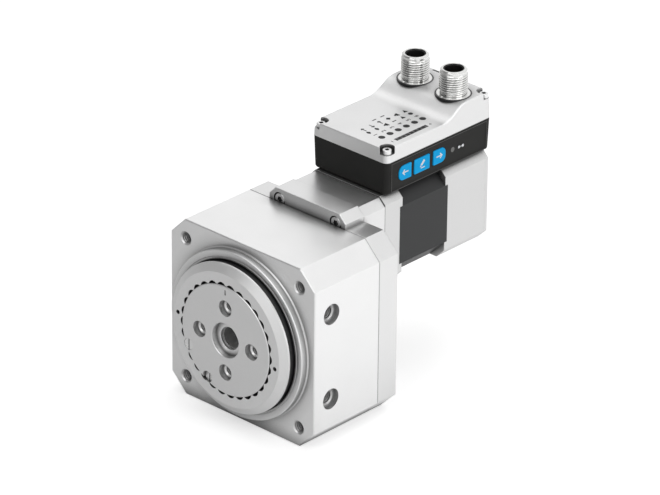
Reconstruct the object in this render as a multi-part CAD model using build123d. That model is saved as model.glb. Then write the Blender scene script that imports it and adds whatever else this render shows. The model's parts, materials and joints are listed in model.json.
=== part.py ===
from build123d import *
import math
import os

# Electric rotary actuator with a square gear housing, an offset stepper motor and a controller.
# Frame: X to the right, Y along the output axis towards the motor, Z up, in millimetres.
# The origin is where the output axis meets the front face of the gear housing.

# Clearances shared by mating pieces
running_gap = 0.05
free_gap = 0.3
screw_gap = 0.15
screw_end_gap = 1.0
# How far a cut runs past the face that it opens, or a joined form into its neighbour
past = 1.0

# Gear housing and rear cover plate
housing_width = 80.0
housing_chamfer = 8.0
housing_depth = 37.8
cover_plate_depth = 11.1
edge_break = 0.4
seam_chamfer = 0.3
boss_radius = 36.5
boss_height = 3.6
boss_chamfer = 0.3
boss_cove = 0.5
corner_hole_spacing = 63.0
corner_thread_core = 2.5
corner_thread_depth = 14.0
thread_mouth_chamfer = 0.55
rear_thread_core = 2.1
rear_thread_depth = 12.0
side_hole_y = 9.8
side_hole_spacing = 38.2
side_centring_radius = 4.5
side_centring_depth = 2.1
side_thread_core = 2.5
side_thread_depth = 11.0
bearing_shoulder_depth = 1.5
pinion_room = 1.8
pinion_pocket_lead = 3.0
tongue_overhang = 0.25
tongue_rise = 0.3
tongue_corner = 3.5
adapter_overhang = 0.05
adapter_drop = 0.5
adapter_depth = 12.7
adapter_corner = 3.4
adapter_chamfer = 0.25
tail_relief = 1.5
tail_relief_depth = 2.0

# Output plate, clamp ring and dust seal
plate_radius = 24.3
plate_front = -9.7
plate_edge_break = 0.3
ring_front = -9.25
ring_flat_radius = 29.4
ring_outer_radius = 32.6
ring_rim_front = -7.0
ring_rim_back = -6.2
ring_neck_radius = 29.9
ring_back_gap = 0.2
pocket_count = 30
pocket_radius = 2.45
pocket_tip_radius = 25.5
pocket_depth = 2.2
spanner_hole_radius = 0.95
spanner_circle_radius = 27.2
spanner_hole_depth = 2.0
spanner_angle = -6.5
seal_bore_step = 0.1
seal_bore_round = 1.3
seal_back = -2.0
seal_front = -5.9
seal_lip_gap = 0.1
seal_lip_width = 0.6
seal_lip_edge = 0.4
seal_face_bevel = 0.5
seal_rim_inset = 0.4
retainer_inner_radius = 30.2
centring_radius = 7.5
centring_depth = 2.7
centring_chamfer = 0.25
shaft_bore_radius = 4.6
shaft_bore_depth = 24.0
shaft_step_radius = 5.0
shaft_step_depth = 1.2
flange_hole_count = 4
flange_hole_circle = 29.0
flange_centring_radius = 3.5
flange_centring_depth = 2.3
flange_thread_core = 2.1
flange_thread_depth = 10.5
lock_screw_radius = 2.5
lock_screw_circle_radius = 22.5
lock_screw_length = 5.0
lock_screw_angles = (204.0, 243.5)
lock_screw_sink = (0.15, 1.4)
lock_screw_slot_width = 0.5
lock_screw_slot_depth = 0.8
index_mark_width = 0.7
index_mark_length = 2.2
index_mark_depth = 0.3
index_mark_inset = 1.6

# Main bearing, two rows side by side
bearing_bore_radius = 25.0
bearing_outer_radius = 32.5
bearing_width = 7.0
bearing_front = -0.2
race_inner_shoulder = 27.3
race_outer_shoulder = 30.2
ball_radius = 2.0
ball_count = 16
race_clearance = 0.06
cage_wall = 0.5
cage_half_width = 2.7
seat_relief = 0.1

# Hub behind the bearing, tail bearing and end stops
hub_shoulder_radius = 27.2
hub_shoulder_width = 2.6
hub_flange_radius = 20.0
hub_flange_back = 26.0
hub_room = 0.8
gear_seat_radius = 12.0
tail_radius = 7.5
tail_bearing_outer_radius = 12.0
tail_bearing_split_radius = 10.0
tail_bearing_width = 5.0
tail_bearing_shoulder = 1.2
stop_lug_radius = 24.4
stop_lug_half_angle = 12.0
stop_lug_front = 18.4
stop_lug_back = 23.4
stop_buffer_half_angle = 77.2
stop_buffer_angle = 5.0
stop_inner_radius = 21.0
swing_half_angle = 90.0

# Gear pair
gear_module = 0.75
gear_teeth = 58
pinion_teeth = 10
pressure_angle = 20.0
pinion_shift = 0.35
root_clearance = 0.25
tooth_thinning = 0.12
gear_tip_radius = 22.15
pinion_tip_radius = 4.7
gear_width = 8.0
pinion_overhang = 1.0
gear_screw_circle_radius = 16.4
gear_screw_count = 4
gear_screw_engagement = 6.0

# Motor
motor_width = 42.0
motor_corner = 4.2
motor_flat_depth = 1.0
motor_pilot_radius = 11.0
motor_pilot_height = 2.0
pilot_end_gap = 0.1
motor_hole_spacing = 31.0
motor_flange_depth = 8.9
stator_depth = 29.1
stator_corner = 8.0
stator_bore_radius = 11.3
winding_slot_count = 8
winding_slot_width = 4.0
winding_outer_radius = 16.5
winding_end_length = 3.2
winding_end_gap = 0.6
winding_room = 0.5
winding_bore_step = 0.4
ear_length = 1.5
rear_housing_depth = 23.15
end_cap_depth = 2.1
end_cap_chamfer = 0.5
motor_shaft_radius = 2.5
motor_shaft_room = 1.0
motor_shaft_chamfer = 0.3
motor_shaft_tail = 1.0
motor_bearing_radius = 8.0
motor_bearing_width = 5.0
motor_bearing_split_radius = 4.6
rotor_air_gap = 0.3
rotor_end_gap = 2.0
rotor_split_width = 1.6
rotor_split_depth = 1.5
encoder_magnet_radius = 3.0
encoder_magnet_gap = 1.0
encoder_board_thickness = 1.6
encoder_board_radius = 15.9
encoder_board_inset = 5.0
encoder_room_radius = 14.0
encoder_web = 1.5

# Screws: shank radius, head radius and head height
small_screw = (1.5, 2.75, 3.0)
plate_screw = (rear_thread_core, 4.25, 5.0)
cover_screw = (1.0, 1.9, 1.9)
base_screw = (1.25, 2.2, 1.2)
board_screw = (0.8, 1.6, 1.2)
bolt_head_height = 1.3
bolt_head_sink = 0.1
bolt_engagement = 3.5
plate_screw_sink = 0.4
mount_screw_recess = 3.2
mount_screw_engagement = 4.0
mount_screw_head_gap = 0.4
cover_screw_engagement = 7.0
base_screw_engagement = 4.0
board_screw_engagement = 2.0

# Controller
controller_side_inset = 0.25
controller_front_gap = 0.7
controller_length = 64.0
controller_corner = 2.5
controller_wall = 2.0
controller_floor = 2.4
base_height = 14.8
base_draft = 2.3
base_edge_round = 1.5
cover_draft = 3.0
cover_low_height = 6.1
cover_step_height = 5.5
ramp_front_inset = 33.7
ramp_length = 16.0
cover_edge_round = 0.6
cover_screw_side_inset = 2.55
cover_screw_front_inset = 2.9
cover_screw_back_inset = 2.5
cover_screw_post_radius = 2.6
cover_screw_post_lift = 0.6
cover_notch_radius = 3.1
cover_notch_depth = 2.9
cover_notch_wall = 1.2
pry_slot_x = -8.5
pry_slot_back_inset = 1.9
pry_slot_length = 4.2
pry_slot_width = 0.8
pry_slot_depth = 0.6
gasket_height = 0.5
gasket_width = 1.0

# Circuit board and motor plug in the controller
board_rise = 2.8
board_thickness = 1.6
board_left_inset = 3.45
board_right_inset = 7.35
board_front_inset = 6.0
board_back_inset = 5.6
board_post_inset = 3.3
board_post_radius = 2.2
base_screw_x = 5.0
base_screw_front_inset = 5.8
base_screw_back_inset = 6.0
plug_inset = 3.75
plug_width = 10.0
plug_length = 5.0
plug_lift = 0.5

# Round plug connectors
connector_side_inset = 10.2
connector_back_inset = 12.8
connector_thread_radius = 6.0
connector_bore_radius = 4.35
connector_height = 11.3
connector_foot_radius = 7.1
connector_foot_height = 0.25
connector_seat_depth = 0.5
connector_seal_radius = 7.7
connector_seal_height = 0.1
connector_boss_wall = 0.6
connector_boss_depth = 4.0
connector_shank_length = 6.5
connector_chamfer = 0.9
connector_key_width = 1.4
connector_key_depth = 0.8
insert_floor_height = 2.6
insert_depth = 7.5
pin_radius = 0.5
pin_circle_radius = 2.35
pin_length = 4.2
pin_depth = 10.5
pin_chamfer = 0.2
pin_counts = (4, 5)

# Keys, windows and lens
key_height = 6.5
key_rise = 4.5
key_front_insets = (7.6, 16.8, 28.3)
key_lengths = (7.4, 9.2, 7.4)
key_round = 2.6
key_corner = 0.5
key_clearance = 0.2
key_flange = 0.7
key_flange_thickness = 0.8
key_travel = 0.4
key_board_overhang = 2.0
key_board_thickness = 1.0
key_board_top_inset = 2.3
switch_width = 3.6
switch_height = 0.5
switch_stem_radius = 1.0
switch_stem_height = 0.3
window_count = 6
window_radius = 1.45
window_rim = 0.35
window_rim_height = 0.6
window_side_inset = 10.35
window_first_inset = 8.2
window_pitch = 4.93
bar_side_inset = 4.65
bar_front_inset = 10.2
bar_width = 2.0
bar_length = 19.0
bar_rim = 0.4
lens_radius = 1.1
lens_front_inset = 40.3
lens_rise = 7.7
lens_lip = 0.3
lens_lip_thickness = 0.8
lens_face_inset = 0.25

# Places along the output axis
half_width = housing_width / 2
plate_joint = housing_depth
adapter_front = plate_joint + cover_plate_depth
motor_front = adapter_front + adapter_depth
stator_front = motor_front + motor_flange_depth
stator_back = stator_front + stator_depth
rear_housing_back = stator_back + rear_housing_depth
motor_back = rear_housing_back + end_cap_depth
rear_bearing_front = stator_back + winding_end_length + winding_end_gap
rear_bearing_back = rear_bearing_front + motor_bearing_width
encoder_front = rear_housing_back - encoder_board_inset
encoder_back = encoder_front + encoder_board_thickness
bearing_back = bearing_front + 2 * bearing_width
hub_shoulder_back = bearing_back + hub_shoulder_width
gear_back = hub_flange_back + gear_width
tail_bearing_front = plate_joint + free_gap
tail_bearing_back = tail_bearing_front + tail_bearing_width
plate_screw_seat = adapter_front - plate_screw[2] - plate_screw_sink
mount_screw_seat = plate_joint + mount_screw_recess
bolt_seat = motor_back - bolt_head_height - bolt_head_sink

# Radii that follow from others
seal_bore_radius = bearing_outer_radius + seal_bore_step
chamber_radius = hub_shoulder_radius + hub_room
adapter_passage_radius = pinion_tip_radius + tail_relief
ball_circle_radius = (race_inner_shoulder + race_outer_shoulder) / 2
lens_seat_radius = lens_radius + lens_lip

# Heights
motor_z = gear_module * (gear_teeth + pinion_teeth) / 2
motor_top = motor_z + motor_width / 2 - motor_flat_depth
tongue_half_width = motor_width / 2 + tongue_overhang
tongue_top = motor_top + tongue_rise
adapter_half_width = motor_width / 2 + adapter_overhang
adapter_top = motor_top - adapter_drop
base_floor_top = motor_top + controller_floor
parting_height = motor_top + base_height
cover_low_top = parting_height + cover_low_height
cover_high_top = cover_low_top + cover_step_height
connector_top = cover_high_top + connector_height
connector_foot_top = cover_high_top + connector_foot_height
connector_foot_bottom = cover_high_top - connector_seat_depth
window_floor = cover_low_top - controller_wall
board_bottom = base_floor_top + board_rise
board_top = board_bottom + board_thickness
key_bottom = motor_top + key_rise
key_middle = key_bottom + key_height / 2
lens_z = motor_top + lens_rise

# Plan of the controller
controller_half = motor_width / 2 - controller_side_inset
controller_front = motor_front + controller_front_gap
controller_back = controller_front + controller_length
controller_middle = (controller_front + controller_back) / 2
ramp_start = controller_front + ramp_front_inset
ramp_end = ramp_start + ramp_length
cover_screw_x = controller_half - cover_screw_side_inset
cover_screw_front_y = controller_front + cover_screw_front_inset
cover_screw_back_y = controller_back - cover_screw_back_inset
base_screw_front_y = motor_front + base_screw_front_inset
base_screw_back_y = stator_back + base_screw_back_inset
plug_y = encoder_front - plug_inset
connector_x = controller_half - connector_side_inset
connector_y = controller_back - connector_back_inset
key_starts = tuple(controller_front + inset for inset in key_front_insets)
window_x = controller_half - window_side_inset
window_first_y = controller_front + window_first_inset
bar_x = controller_half - bar_side_inset
bar_front = controller_front + bar_front_inset
lens_y = controller_front + lens_front_inset
board_left = board_left_inset - controller_half
board_right = controller_half - board_right_inset
board_front = controller_front + board_front_inset
board_back = controller_back - board_back_inset

# Parts on the circuit board: X, distance from its front edge, width, length and height
board_parts = (
    (-2.0, 16.7, 7.0, 7.0, 1.2),
    (4.0, 29.7, 5.0, 5.0, 1.0),
    (-6.0, 36.7, 6.0, 4.0, 1.4),
    (0.0, 45.7, 12.0, 4.0, 3.0),
)
# Round capacitors there: distance from its left edge, from its front edge, radius and height
board_capacitors = (
    (4.3, 9.7, 3.0, 6.0),
    (4.3, 23.7, 3.0, 6.0),
)
# Parts on the encoder board: X, height above the motor axis, width, length and thickness
encoder_parts = (
    (0.0, 0.0, 5.0, 5.0, 0.9),
    (-8.0, -3.0, 3.0, 5.0, 1.2),
    (8.0, -3.0, 3.0, 5.0, 1.2),
)


def along_x(sketch, x0, x1):
    return extrude(Plane.YZ.offset(x0) * sketch, x1 - x0)


def along_y(sketch, y0, y1):
    return extrude(Plane.XZ.offset(-y1) * sketch, y1 - y0)


def along_z(sketch, z0, z1):
    return extrude(Plane.XY.offset(z0) * sketch, z1 - z0)


def rod(radius, y0, y1, x=0.0, z=0.0):
    return along_y(Pos(x, z) * Circle(radius), y0, y1)


def tube(outer, inner, y0, y1, x=0.0, z=0.0):
    return along_y(Pos(x, z) * (Circle(outer) - Circle(inner)), y0, y1)


def turned(points):
    return revolve(make_face(Polyline(*points, close=True)), Axis.Y)


def thread_mouth(core):
    # The cone at the mouth of a threaded hole, which runs from Z = 0 towards +Z
    mouth = Cone(core + thread_mouth_chamfer, core, thread_mouth_chamfer)
    return Pos(0, 0, thread_mouth_chamfer / 2) * mouth


def bore_mouth(radius, size, face):
    # A quarter round taken off the mouth of a bore along Y, whose front face is at y
    centre = (radius + size, face + size)
    lean = size * math.sqrt(0.5)
    outline = [
        Line((radius, face), (radius + size, face)),
        ThreePointArc((radius + size, face), (centre[0] - lean, centre[1] - lean), (radius, face + size)),
        Line((radius, face + size), (radius, face)),
    ]
    return revolve(make_face(outline), Axis.Y)


def square_corners(spacing, centre_z=0.0):
    half = spacing / 2
    return [(x, centre_z + z) for x in (-half, half) for z in (-half, half)]


def polar(radius, angle):
    return radius * math.cos(math.radians(angle)), radius * math.sin(math.radians(angle))


def cut_square(width, corner):
    square = Rectangle(width, width)
    return chamfer(square.vertices(), corner)


def sector(inner, outer, start, end):
    # A ring sector between two angles in degrees, measured from +X towards +Z
    middle = (start + end) / 2
    outline = [
        Line(polar(inner, start), polar(outer, start)),
        ThreePointArc(polar(outer, start), polar(outer, middle), polar(outer, end)),
        Line(polar(outer, end), polar(inner, end)),
        ThreePointArc(polar(inner, end), polar(inner, middle), polar(inner, start)),
    ]
    return make_face(outline)


def cap_screw(size, length):
    # Socket head screw, head towards +Z with its seat at Z = 0
    shank_radius, head_radius, head_height = size
    head = extrude(Circle(head_radius), head_height)
    head = chamfer(head.edges().group_by(Axis.Z)[-1], head_height / 12)
    shank = extrude(Circle(shank_radius), -length)
    socket = extrude(Plane.XY.offset(head_height / 2) * RegularPolygon(head_radius / 2, 6), head_height)
    return head + shank - socket


def facing_front(x, y, z, piece):
    return Location((x, y, z), (90, 0, 0)) * piece


def facing_back(x, y, z, piece):
    return Location((x, y, z), (-90, 0, 0)) * piece


def involute_gear(teeth, shift, tip_radius, first_angle):
    pitch_radius = gear_module * teeth / 2
    base_radius = pitch_radius * math.cos(math.radians(pressure_angle))
    root_radius = gear_module * (teeth / 2 - 1 - root_clearance + shift)
    tooth_width = gear_module * (math.pi / 2 + 2 * shift * math.tan(math.radians(pressure_angle)))
    tooth_width -= tooth_thinning
    start_radius = max(base_radius, root_radius) + 0.001

    def half_angle(radius):
        roll = math.acos(min(1.0, base_radius / radius))
        spread = math.tan(roll) - roll
        at_pitch = math.tan(math.radians(pressure_angle)) - math.radians(pressure_angle)
        return math.degrees(tooth_width / (2 * pitch_radius) + at_pitch - spread)

    edges = []
    step = 360.0 / teeth
    for index in range(teeth):
        centre = first_angle + index * step
        middle_radius = (start_radius + tip_radius) / 2
        foot = half_angle(start_radius)
        tip = half_angle(tip_radius)
        rise = [polar(start_radius, centre - foot), polar(tip_radius, centre - tip)]
        fall = [polar(tip_radius, centre + tip), polar(start_radius, centre + foot)]
        flank = half_angle(middle_radius)
        root_in = polar(root_radius, centre - foot)
        root_out = polar(root_radius, centre + foot)
        next_root = polar(root_radius, centre + step - foot)
        if start_radius > root_radius + 0.01:
            edges.append(Line(root_in, rise[0]))
            edges.append(Line(fall[1], root_out))
        else:
            root_out = fall[1]
            next_root = polar(start_radius, centre + step - foot)
        edges.append(ThreePointArc(rise[0], polar(middle_radius, centre - flank), rise[1]))
        edges.append(ThreePointArc(rise[1], polar(tip_radius, centre), fall[0]))
        edges.append(ThreePointArc(fall[0], polar(middle_radius, centre + flank), fall[1]))
        edges.append(Line(root_out, next_root))
    return make_face(edges)


# Gear housing
def housing_bore():
    return turned([
        (0, -boss_height - past),
        (seal_bore_radius, -boss_height - past),
        (seal_bore_radius, bearing_front),
        (bearing_outer_radius, bearing_front),
        (bearing_outer_radius, bearing_back),
        (race_outer_shoulder, bearing_back),
        (race_outer_shoulder, bearing_back + bearing_shoulder_depth),
        (chamber_radius, bearing_back + bearing_shoulder_depth),
        (chamber_radius, housing_depth + past),
        (0, housing_depth + past),
    ])


def gear_housing():
    body = along_y(cut_square(housing_width, housing_chamfer), 0, housing_depth)
    body = chamfer(body.edges().group_by(Axis.Y)[0], edge_break)
    body = chamfer(body.edges().group_by(Axis.Y)[-1], seam_chamfer)
    body += turned([
        (0, -boss_height),
        (boss_radius - boss_chamfer, -boss_height),
        (boss_radius, boss_chamfer - boss_height),
        (boss_radius, -boss_cove),
        (boss_radius + boss_cove, 0),
        (boss_radius + boss_cove, edge_break),
        (0, edge_break),
    ])
    body -= housing_bore()
    body -= bore_mouth(seal_bore_radius, seal_bore_round, -boss_height)
    pocket_front = hub_flange_back - pinion_pocket_lead
    body -= rod(pinion_tip_radius + pinion_room, pocket_front, housing_depth + past, 0, motor_z)
    for x, z in square_corners(corner_hole_spacing):
        body -= rod(corner_thread_core, -past, corner_thread_depth, x, z)
        body -= facing_back(x, 0, z, thread_mouth(corner_thread_core))
        body -= rod(rear_thread_core, housing_depth - rear_thread_depth, housing_depth + past, x, z)
    for side in (-1, 1):
        for z in (-side_hole_spacing / 2, side_hole_spacing / 2):
            body -= side_hole(side, z)
    return body


def side_hole(side, z):
    outside = side * (half_width + past)
    seat = side * (half_width - side_centring_depth)
    bottom = side * (half_width - side_thread_depth)
    mouth = Pos(seat, side_hole_y, z) * Rot(0, -side * 90, 0) * thread_mouth(side_thread_core)
    hole = along_x(Pos(side_hole_y, z) * Circle(side_centring_radius), outside, seat)
    return hole + along_x(Pos(side_hole_y, z) * Circle(side_thread_core), outside, bottom) + mouth


# Rear cover plate with the tongue that carries the motor adapter
def tongue_outline(half, top, corner):
    outline = Polyline(
        (-half, 0),
        (half, 0),
        (half, top - corner),
        (half - corner, top),
        (corner - half, top),
        (-half, top - corner),
        close=True,
    )
    return make_face(outline)


def rear_cover():
    shank_radius, head_radius, head_height = small_screw
    outline = cut_square(housing_width, housing_chamfer)
    outline += tongue_outline(tongue_half_width, tongue_top, tongue_corner)
    body = along_y(outline, plate_joint, adapter_front)
    body = chamfer(body.edges().group_by(Axis.Y)[-1], edge_break)
    body = chamfer(body.edges().group_by(Axis.Y)[0], seam_chamfer)
    body -= rod(tail_bearing_outer_radius, plate_joint - past, tail_bearing_back)
    body -= rod(tail_radius + tail_relief, plate_joint - past, tail_bearing_back + tail_relief_depth)
    body -= rod(adapter_passage_radius, plate_joint - past, adapter_front + past, 0, motor_z)
    for x, z in square_corners(corner_hole_spacing):
        body -= rod(plate_screw[0] + screw_gap, plate_joint - past, adapter_front + past, x, z)
        body -= rod(plate_screw[1] + screw_gap, plate_screw_seat, adapter_front + past, x, z)
    for x, z in square_corners(motor_hole_spacing, motor_z):
        body -= rod(shank_radius + screw_gap, plate_joint - past, adapter_front + past, x, z)
        body -= rod(head_radius + mount_screw_head_gap, plate_joint - past, mount_screw_seat, x, z)
    return body


def motor_adapter():
    low = motor_z - motor_width / 2
    outline = tongue_outline(adapter_half_width, adapter_top, adapter_corner)
    outline -= Pos(0, low / 2) * Rectangle(3 * adapter_half_width, low)
    body = along_y(outline, adapter_front, motor_front)
    body = chamfer(body.edges().group_by(Axis.Y)[-1], adapter_chamfer)
    body -= rod(adapter_passage_radius, adapter_front - past, motor_front + past, 0, motor_z)
    pilot_seat = motor_front - motor_pilot_height - pilot_end_gap
    body -= rod(motor_pilot_radius + running_gap, pilot_seat, motor_front + past, 0, motor_z)
    for x, z in square_corners(motor_hole_spacing, motor_z):
        body -= rod(small_screw[0] + screw_gap, adapter_front - past, motor_front + past, x, z)
    return body


# Output hub, clamp ring, seal and retaining ring
def lock_screw_holes():
    holes = Part()
    bottom = plate_front + lock_screw_length + max(lock_screw_sink) + ring_back_gap
    for angle in lock_screw_angles:
        x, z = polar(lock_screw_circle_radius, angle)
        holes += rod(lock_screw_radius + running_gap, plate_front - past, bottom, x, z)
    return holes


def hub_form():
    return turned([
        (0, plate_front),
        (plate_radius - plate_edge_break, plate_front),
        (plate_radius, plate_front + plate_edge_break),
        (plate_radius, bearing_front + seat_relief),
        (bearing_bore_radius, bearing_front + seat_relief),
        (bearing_bore_radius, bearing_back),
        (hub_shoulder_radius, bearing_back),
        (hub_shoulder_radius, hub_shoulder_back),
        (hub_flange_radius, hub_shoulder_back),
        (hub_flange_radius, hub_flange_back),
        (gear_seat_radius, hub_flange_back),
        (gear_seat_radius, gear_back),
        (tail_radius + tail_bearing_shoulder, gear_back),
        (tail_radius + tail_bearing_shoulder, tail_bearing_front),
        (tail_radius, tail_bearing_front),
        (tail_radius, tail_bearing_back),
        (0, tail_bearing_back),
    ])


def hub_bore():
    centring_seat = plate_front + centring_depth
    return turned([
        (0, plate_front - past),
        (centring_radius + centring_chamfer, plate_front - past),
        (centring_radius + centring_chamfer, plate_front),
        (centring_radius, plate_front + centring_chamfer),
        (centring_radius, centring_seat),
        (shaft_step_radius, centring_seat),
        (shaft_step_radius, centring_seat + shaft_step_depth),
        (shaft_bore_radius, centring_seat + shaft_step_depth),
        (shaft_bore_radius, plate_front + shaft_bore_depth),
        (0, plate_front + shaft_bore_depth),
    ])


def gear_screw_places():
    step = 360.0 / gear_screw_count
    return [polar(gear_screw_circle_radius, (index + 0.5) * step) for index in range(gear_screw_count)]


def output_hub():
    lug_start = -90 - stop_lug_half_angle
    lug = sector(hub_flange_radius - past, stop_lug_radius, lug_start, lug_start + 2 * stop_lug_half_angle)
    body = hub_form() + along_y(lug, stop_lug_front, stop_lug_back)
    body -= hub_bore()
    seat = plate_front + flange_centring_depth
    for index in range(flange_hole_count):
        x, z = polar(flange_hole_circle / 2, index * 360.0 / flange_hole_count)
        body -= rod(flange_centring_radius, plate_front - past, seat, x, z)
        body -= rod(flange_thread_core, plate_front - past, plate_front + flange_thread_depth, x, z)
        body -= facing_back(x, seat, z, thread_mouth(flange_thread_core))
    bottom = hub_flange_back - gear_screw_engagement - screw_end_gap
    for x, z in gear_screw_places():
        body -= rod(small_screw[0] + screw_gap, bottom, hub_flange_back + past, x, z)
    mark_z = plate_radius - index_mark_inset - index_mark_length / 2
    mark = Pos(0, mark_z) * Rectangle(index_mark_width, index_mark_length)
    body -= along_y(mark, plate_front - past, plate_front + index_mark_depth)
    body -= lock_screw_holes()
    return body


def clamp_ring():
    thread_radius = plate_radius + running_gap
    neck_back = seal_back - ring_back_gap
    body = turned([
        (thread_radius, ring_front),
        (ring_flat_radius, ring_front),
        (ring_outer_radius, ring_rim_front),
        (ring_outer_radius, ring_rim_back),
        (ring_neck_radius, ring_rim_back),
        (ring_neck_radius, neck_back),
        (race_inner_shoulder, neck_back),
        (race_inner_shoulder, bearing_front),
        (thread_radius, bearing_front),
    ])
    pocket_centre = pocket_tip_radius - pocket_radius
    for index in range(pocket_count):
        x, z = polar(pocket_centre, index * 360.0 / pocket_count)
        body -= rod(pocket_radius, ring_front - past, ring_front + pocket_depth, x, z)
    for angle in (spanner_angle, spanner_angle + 180):
        x, z = polar(spanner_circle_radius, angle)
        body -= rod(spanner_hole_radius, ring_front - past, ring_front + spanner_hole_depth, x, z)
    body -= lock_screw_holes()
    return body


def lock_screws():
    body = Part()
    for angle, sink in zip(lock_screw_angles, lock_screw_sink):
        x, z = polar(lock_screw_circle_radius, angle)
        front = plate_front + sink
        screw = rod(lock_screw_radius, front, front + lock_screw_length, x, z)
        slot = Pos(x, z) * Rectangle(lock_screw_slot_width, 3 * lock_screw_radius)
        screw -= along_y(slot, front - past, front + lock_screw_slot_depth)
        body += screw
    return body


def dust_seal():
    lip_radius = ring_neck_radius + seal_lip_gap
    inner = lip_radius + seal_lip_width
    outer = seal_bore_radius - seal_rim_inset
    lip_front = seal_back - 2 * seal_face_bevel
    rim_front = seal_bore_round - boss_height
    return turned([
        (inner, seal_front + seal_face_bevel),
        (inner + seal_face_bevel, seal_front),
        (outer - seal_face_bevel, seal_front),
        (outer, seal_front + seal_face_bevel),
        (outer, rim_front),
        (seal_bore_radius, rim_front),
        (seal_bore_radius, seal_back),
        (retainer_inner_radius + seal_lip_edge / 2, seal_back),
        (lip_radius, lip_front),
        (lip_radius, lip_front - seal_lip_edge),
    ])


def bearing_retainer():
    return tube(seal_bore_radius, retainer_inner_radius, seal_back, bearing_front)


# Main bearing
def ball_row_centres():
    return [bearing_front + bearing_width * (row + 0.5) for row in range(2)]


def bearing_groove(y):
    centre = Location((ball_circle_radius, y, 0))
    return revolve(centre * Circle(ball_radius + race_clearance), Axis.Y)


def bearing_rings(outer, inner):
    rings = []
    for y in ball_row_centres():
        front = y - bearing_width / 2
        rings.append(tube(outer, inner, front, front + bearing_width) - bearing_groove(y))
    return Compound(rings)


def bearing_outer_rings():
    return bearing_rings(bearing_outer_radius, race_outer_shoulder)


def bearing_inner_rings():
    return bearing_rings(race_inner_shoulder, bearing_bore_radius)


def bearing_balls():
    balls = []
    for y in ball_row_centres():
        for index in range(ball_count):
            x, z = polar(ball_circle_radius, index * 360.0 / ball_count)
            balls.append(Pos(x, y, z) * Sphere(ball_radius))
    return Compound(balls)


def bearing_cages():
    cages = []
    for y in ball_row_centres():
        front = y - cage_half_width
        ring = tube(ball_circle_radius + cage_wall, ball_circle_radius - cage_wall, front, y + cage_half_width)
        pocket = Cylinder(ball_radius + running_gap, 6 * cage_wall)
        for index in range(ball_count):
            turn = Rot(0, -index * 360.0 / ball_count, 0)
            ring -= Pos(0, y, 0) * turn * Location((ball_circle_radius, 0, 0), (0, 90, 0)) * pocket
        cages.append(ring)
    return Compound(cages)


# Tail bearing and end stops
def tail_bearing_outer():
    return tube(tail_bearing_outer_radius, tail_bearing_split_radius, tail_bearing_front, tail_bearing_back)


def tail_bearing_inner():
    split = tail_bearing_split_radius - running_gap
    return tube(split, tail_radius, tail_bearing_front, tail_bearing_back)


def end_stop_segment():
    start = 90 - stop_buffer_half_angle + stop_buffer_angle
    end = 90 + stop_buffer_half_angle - stop_buffer_angle
    return along_y(sector(stop_inner_radius, chamber_radius, start, end), stop_lug_front, stop_lug_back)


def stop_buffers():
    pads = []
    for side in (-1, 1):
        near = 90 + side * (stop_buffer_half_angle - stop_buffer_angle)
        far = 90 + side * stop_buffer_half_angle
        pad = sector(stop_inner_radius, chamber_radius, min(near, far), max(near, far))
        pads.append(along_y(pad, stop_lug_front, stop_lug_back))
    return Compound(pads)


# Gears
def output_gear():
    teeth = involute_gear(gear_teeth, -pinion_shift, gear_tip_radius, 90.0)
    body = along_y(teeth, hub_flange_back, gear_back)
    body -= rod(gear_seat_radius, hub_flange_back - past, gear_back + past)
    for x, z in gear_screw_places():
        body -= rod(small_screw[0] + screw_gap, hub_flange_back - past, gear_back + past, x, z)
    return body


def pinion():
    first_angle = -90 + 180.0 / pinion_teeth
    teeth = Pos(0, motor_z) * involute_gear(pinion_teeth, pinion_shift, pinion_tip_radius, first_angle)
    front = hub_flange_back - pinion_overhang
    back = gear_back + pinion_overhang
    body = along_y(teeth, front, back)
    body -= rod(motor_shaft_radius, front - past, back + past, 0, motor_z)
    return body


def gear_screws():
    screw = cap_screw(small_screw, gear_width + gear_screw_engagement)
    return Compound([facing_back(x, gear_back, z, screw) for x, z in gear_screw_places()])


# Motor
def motor_outline(corner):
    square = Pos(0, motor_z) * cut_square(motor_width, corner)
    above = Pos(0, motor_top + motor_width / 2) * Rectangle(2 * motor_width, motor_width)
    return square - above


def base_screw_holes(y):
    holes = Part()
    bottom = motor_top - base_screw_engagement - screw_end_gap
    for x in (-base_screw_x, base_screw_x):
        holes += along_z(Pos(x, y) * Circle(base_screw[0]), bottom, motor_top + past)
    return holes


def motor_front_flange():
    body = along_y(motor_outline(motor_corner), motor_front, stator_front)
    ears = motor_outline(motor_corner) - motor_outline(stator_corner)
    body += along_y(ears, stator_front, stator_front + ear_length)
    pilot_front = motor_front - motor_pilot_height
    body += rod(motor_pilot_radius, pilot_front, motor_front, 0, motor_z)
    body -= rod(motor_shaft_radius + motor_shaft_room, pilot_front - past, stator_front + past, 0, motor_z)
    body -= rod(motor_bearing_radius, stator_front - motor_bearing_width, stator_front + past, 0, motor_z)
    ear_back = stator_front + ear_length + past
    for x, z in square_corners(motor_hole_spacing, motor_z):
        body -= rod(small_screw[0] + screw_gap, motor_front - past, ear_back, x, z)
    body -= base_screw_holes(base_screw_front_y)
    return body


def winding_places():
    step = 360.0 / winding_slot_count
    return [Pos(0, motor_z) * Rot(0, 0, (index + 0.5) * step) for index in range(winding_slot_count)]


def stator_stack():
    body = along_y(motor_outline(stator_corner), stator_front, stator_back)
    body -= rod(stator_bore_radius, stator_front - past, stator_back + past, 0, motor_z)
    slot = Rectangle(winding_outer_radius - stator_bore_radius + past, winding_slot_width)
    reach = (winding_outer_radius + stator_bore_radius - past) / 2
    for place in winding_places():
        body -= along_y(place * (Pos(reach, 0) * slot), stator_front - past, stator_back + past)
    for x, z in square_corners(motor_hole_spacing, motor_z):
        body -= rod(small_screw[0] + screw_gap, stator_front - past, stator_back + past, x, z)
    return body


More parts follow.
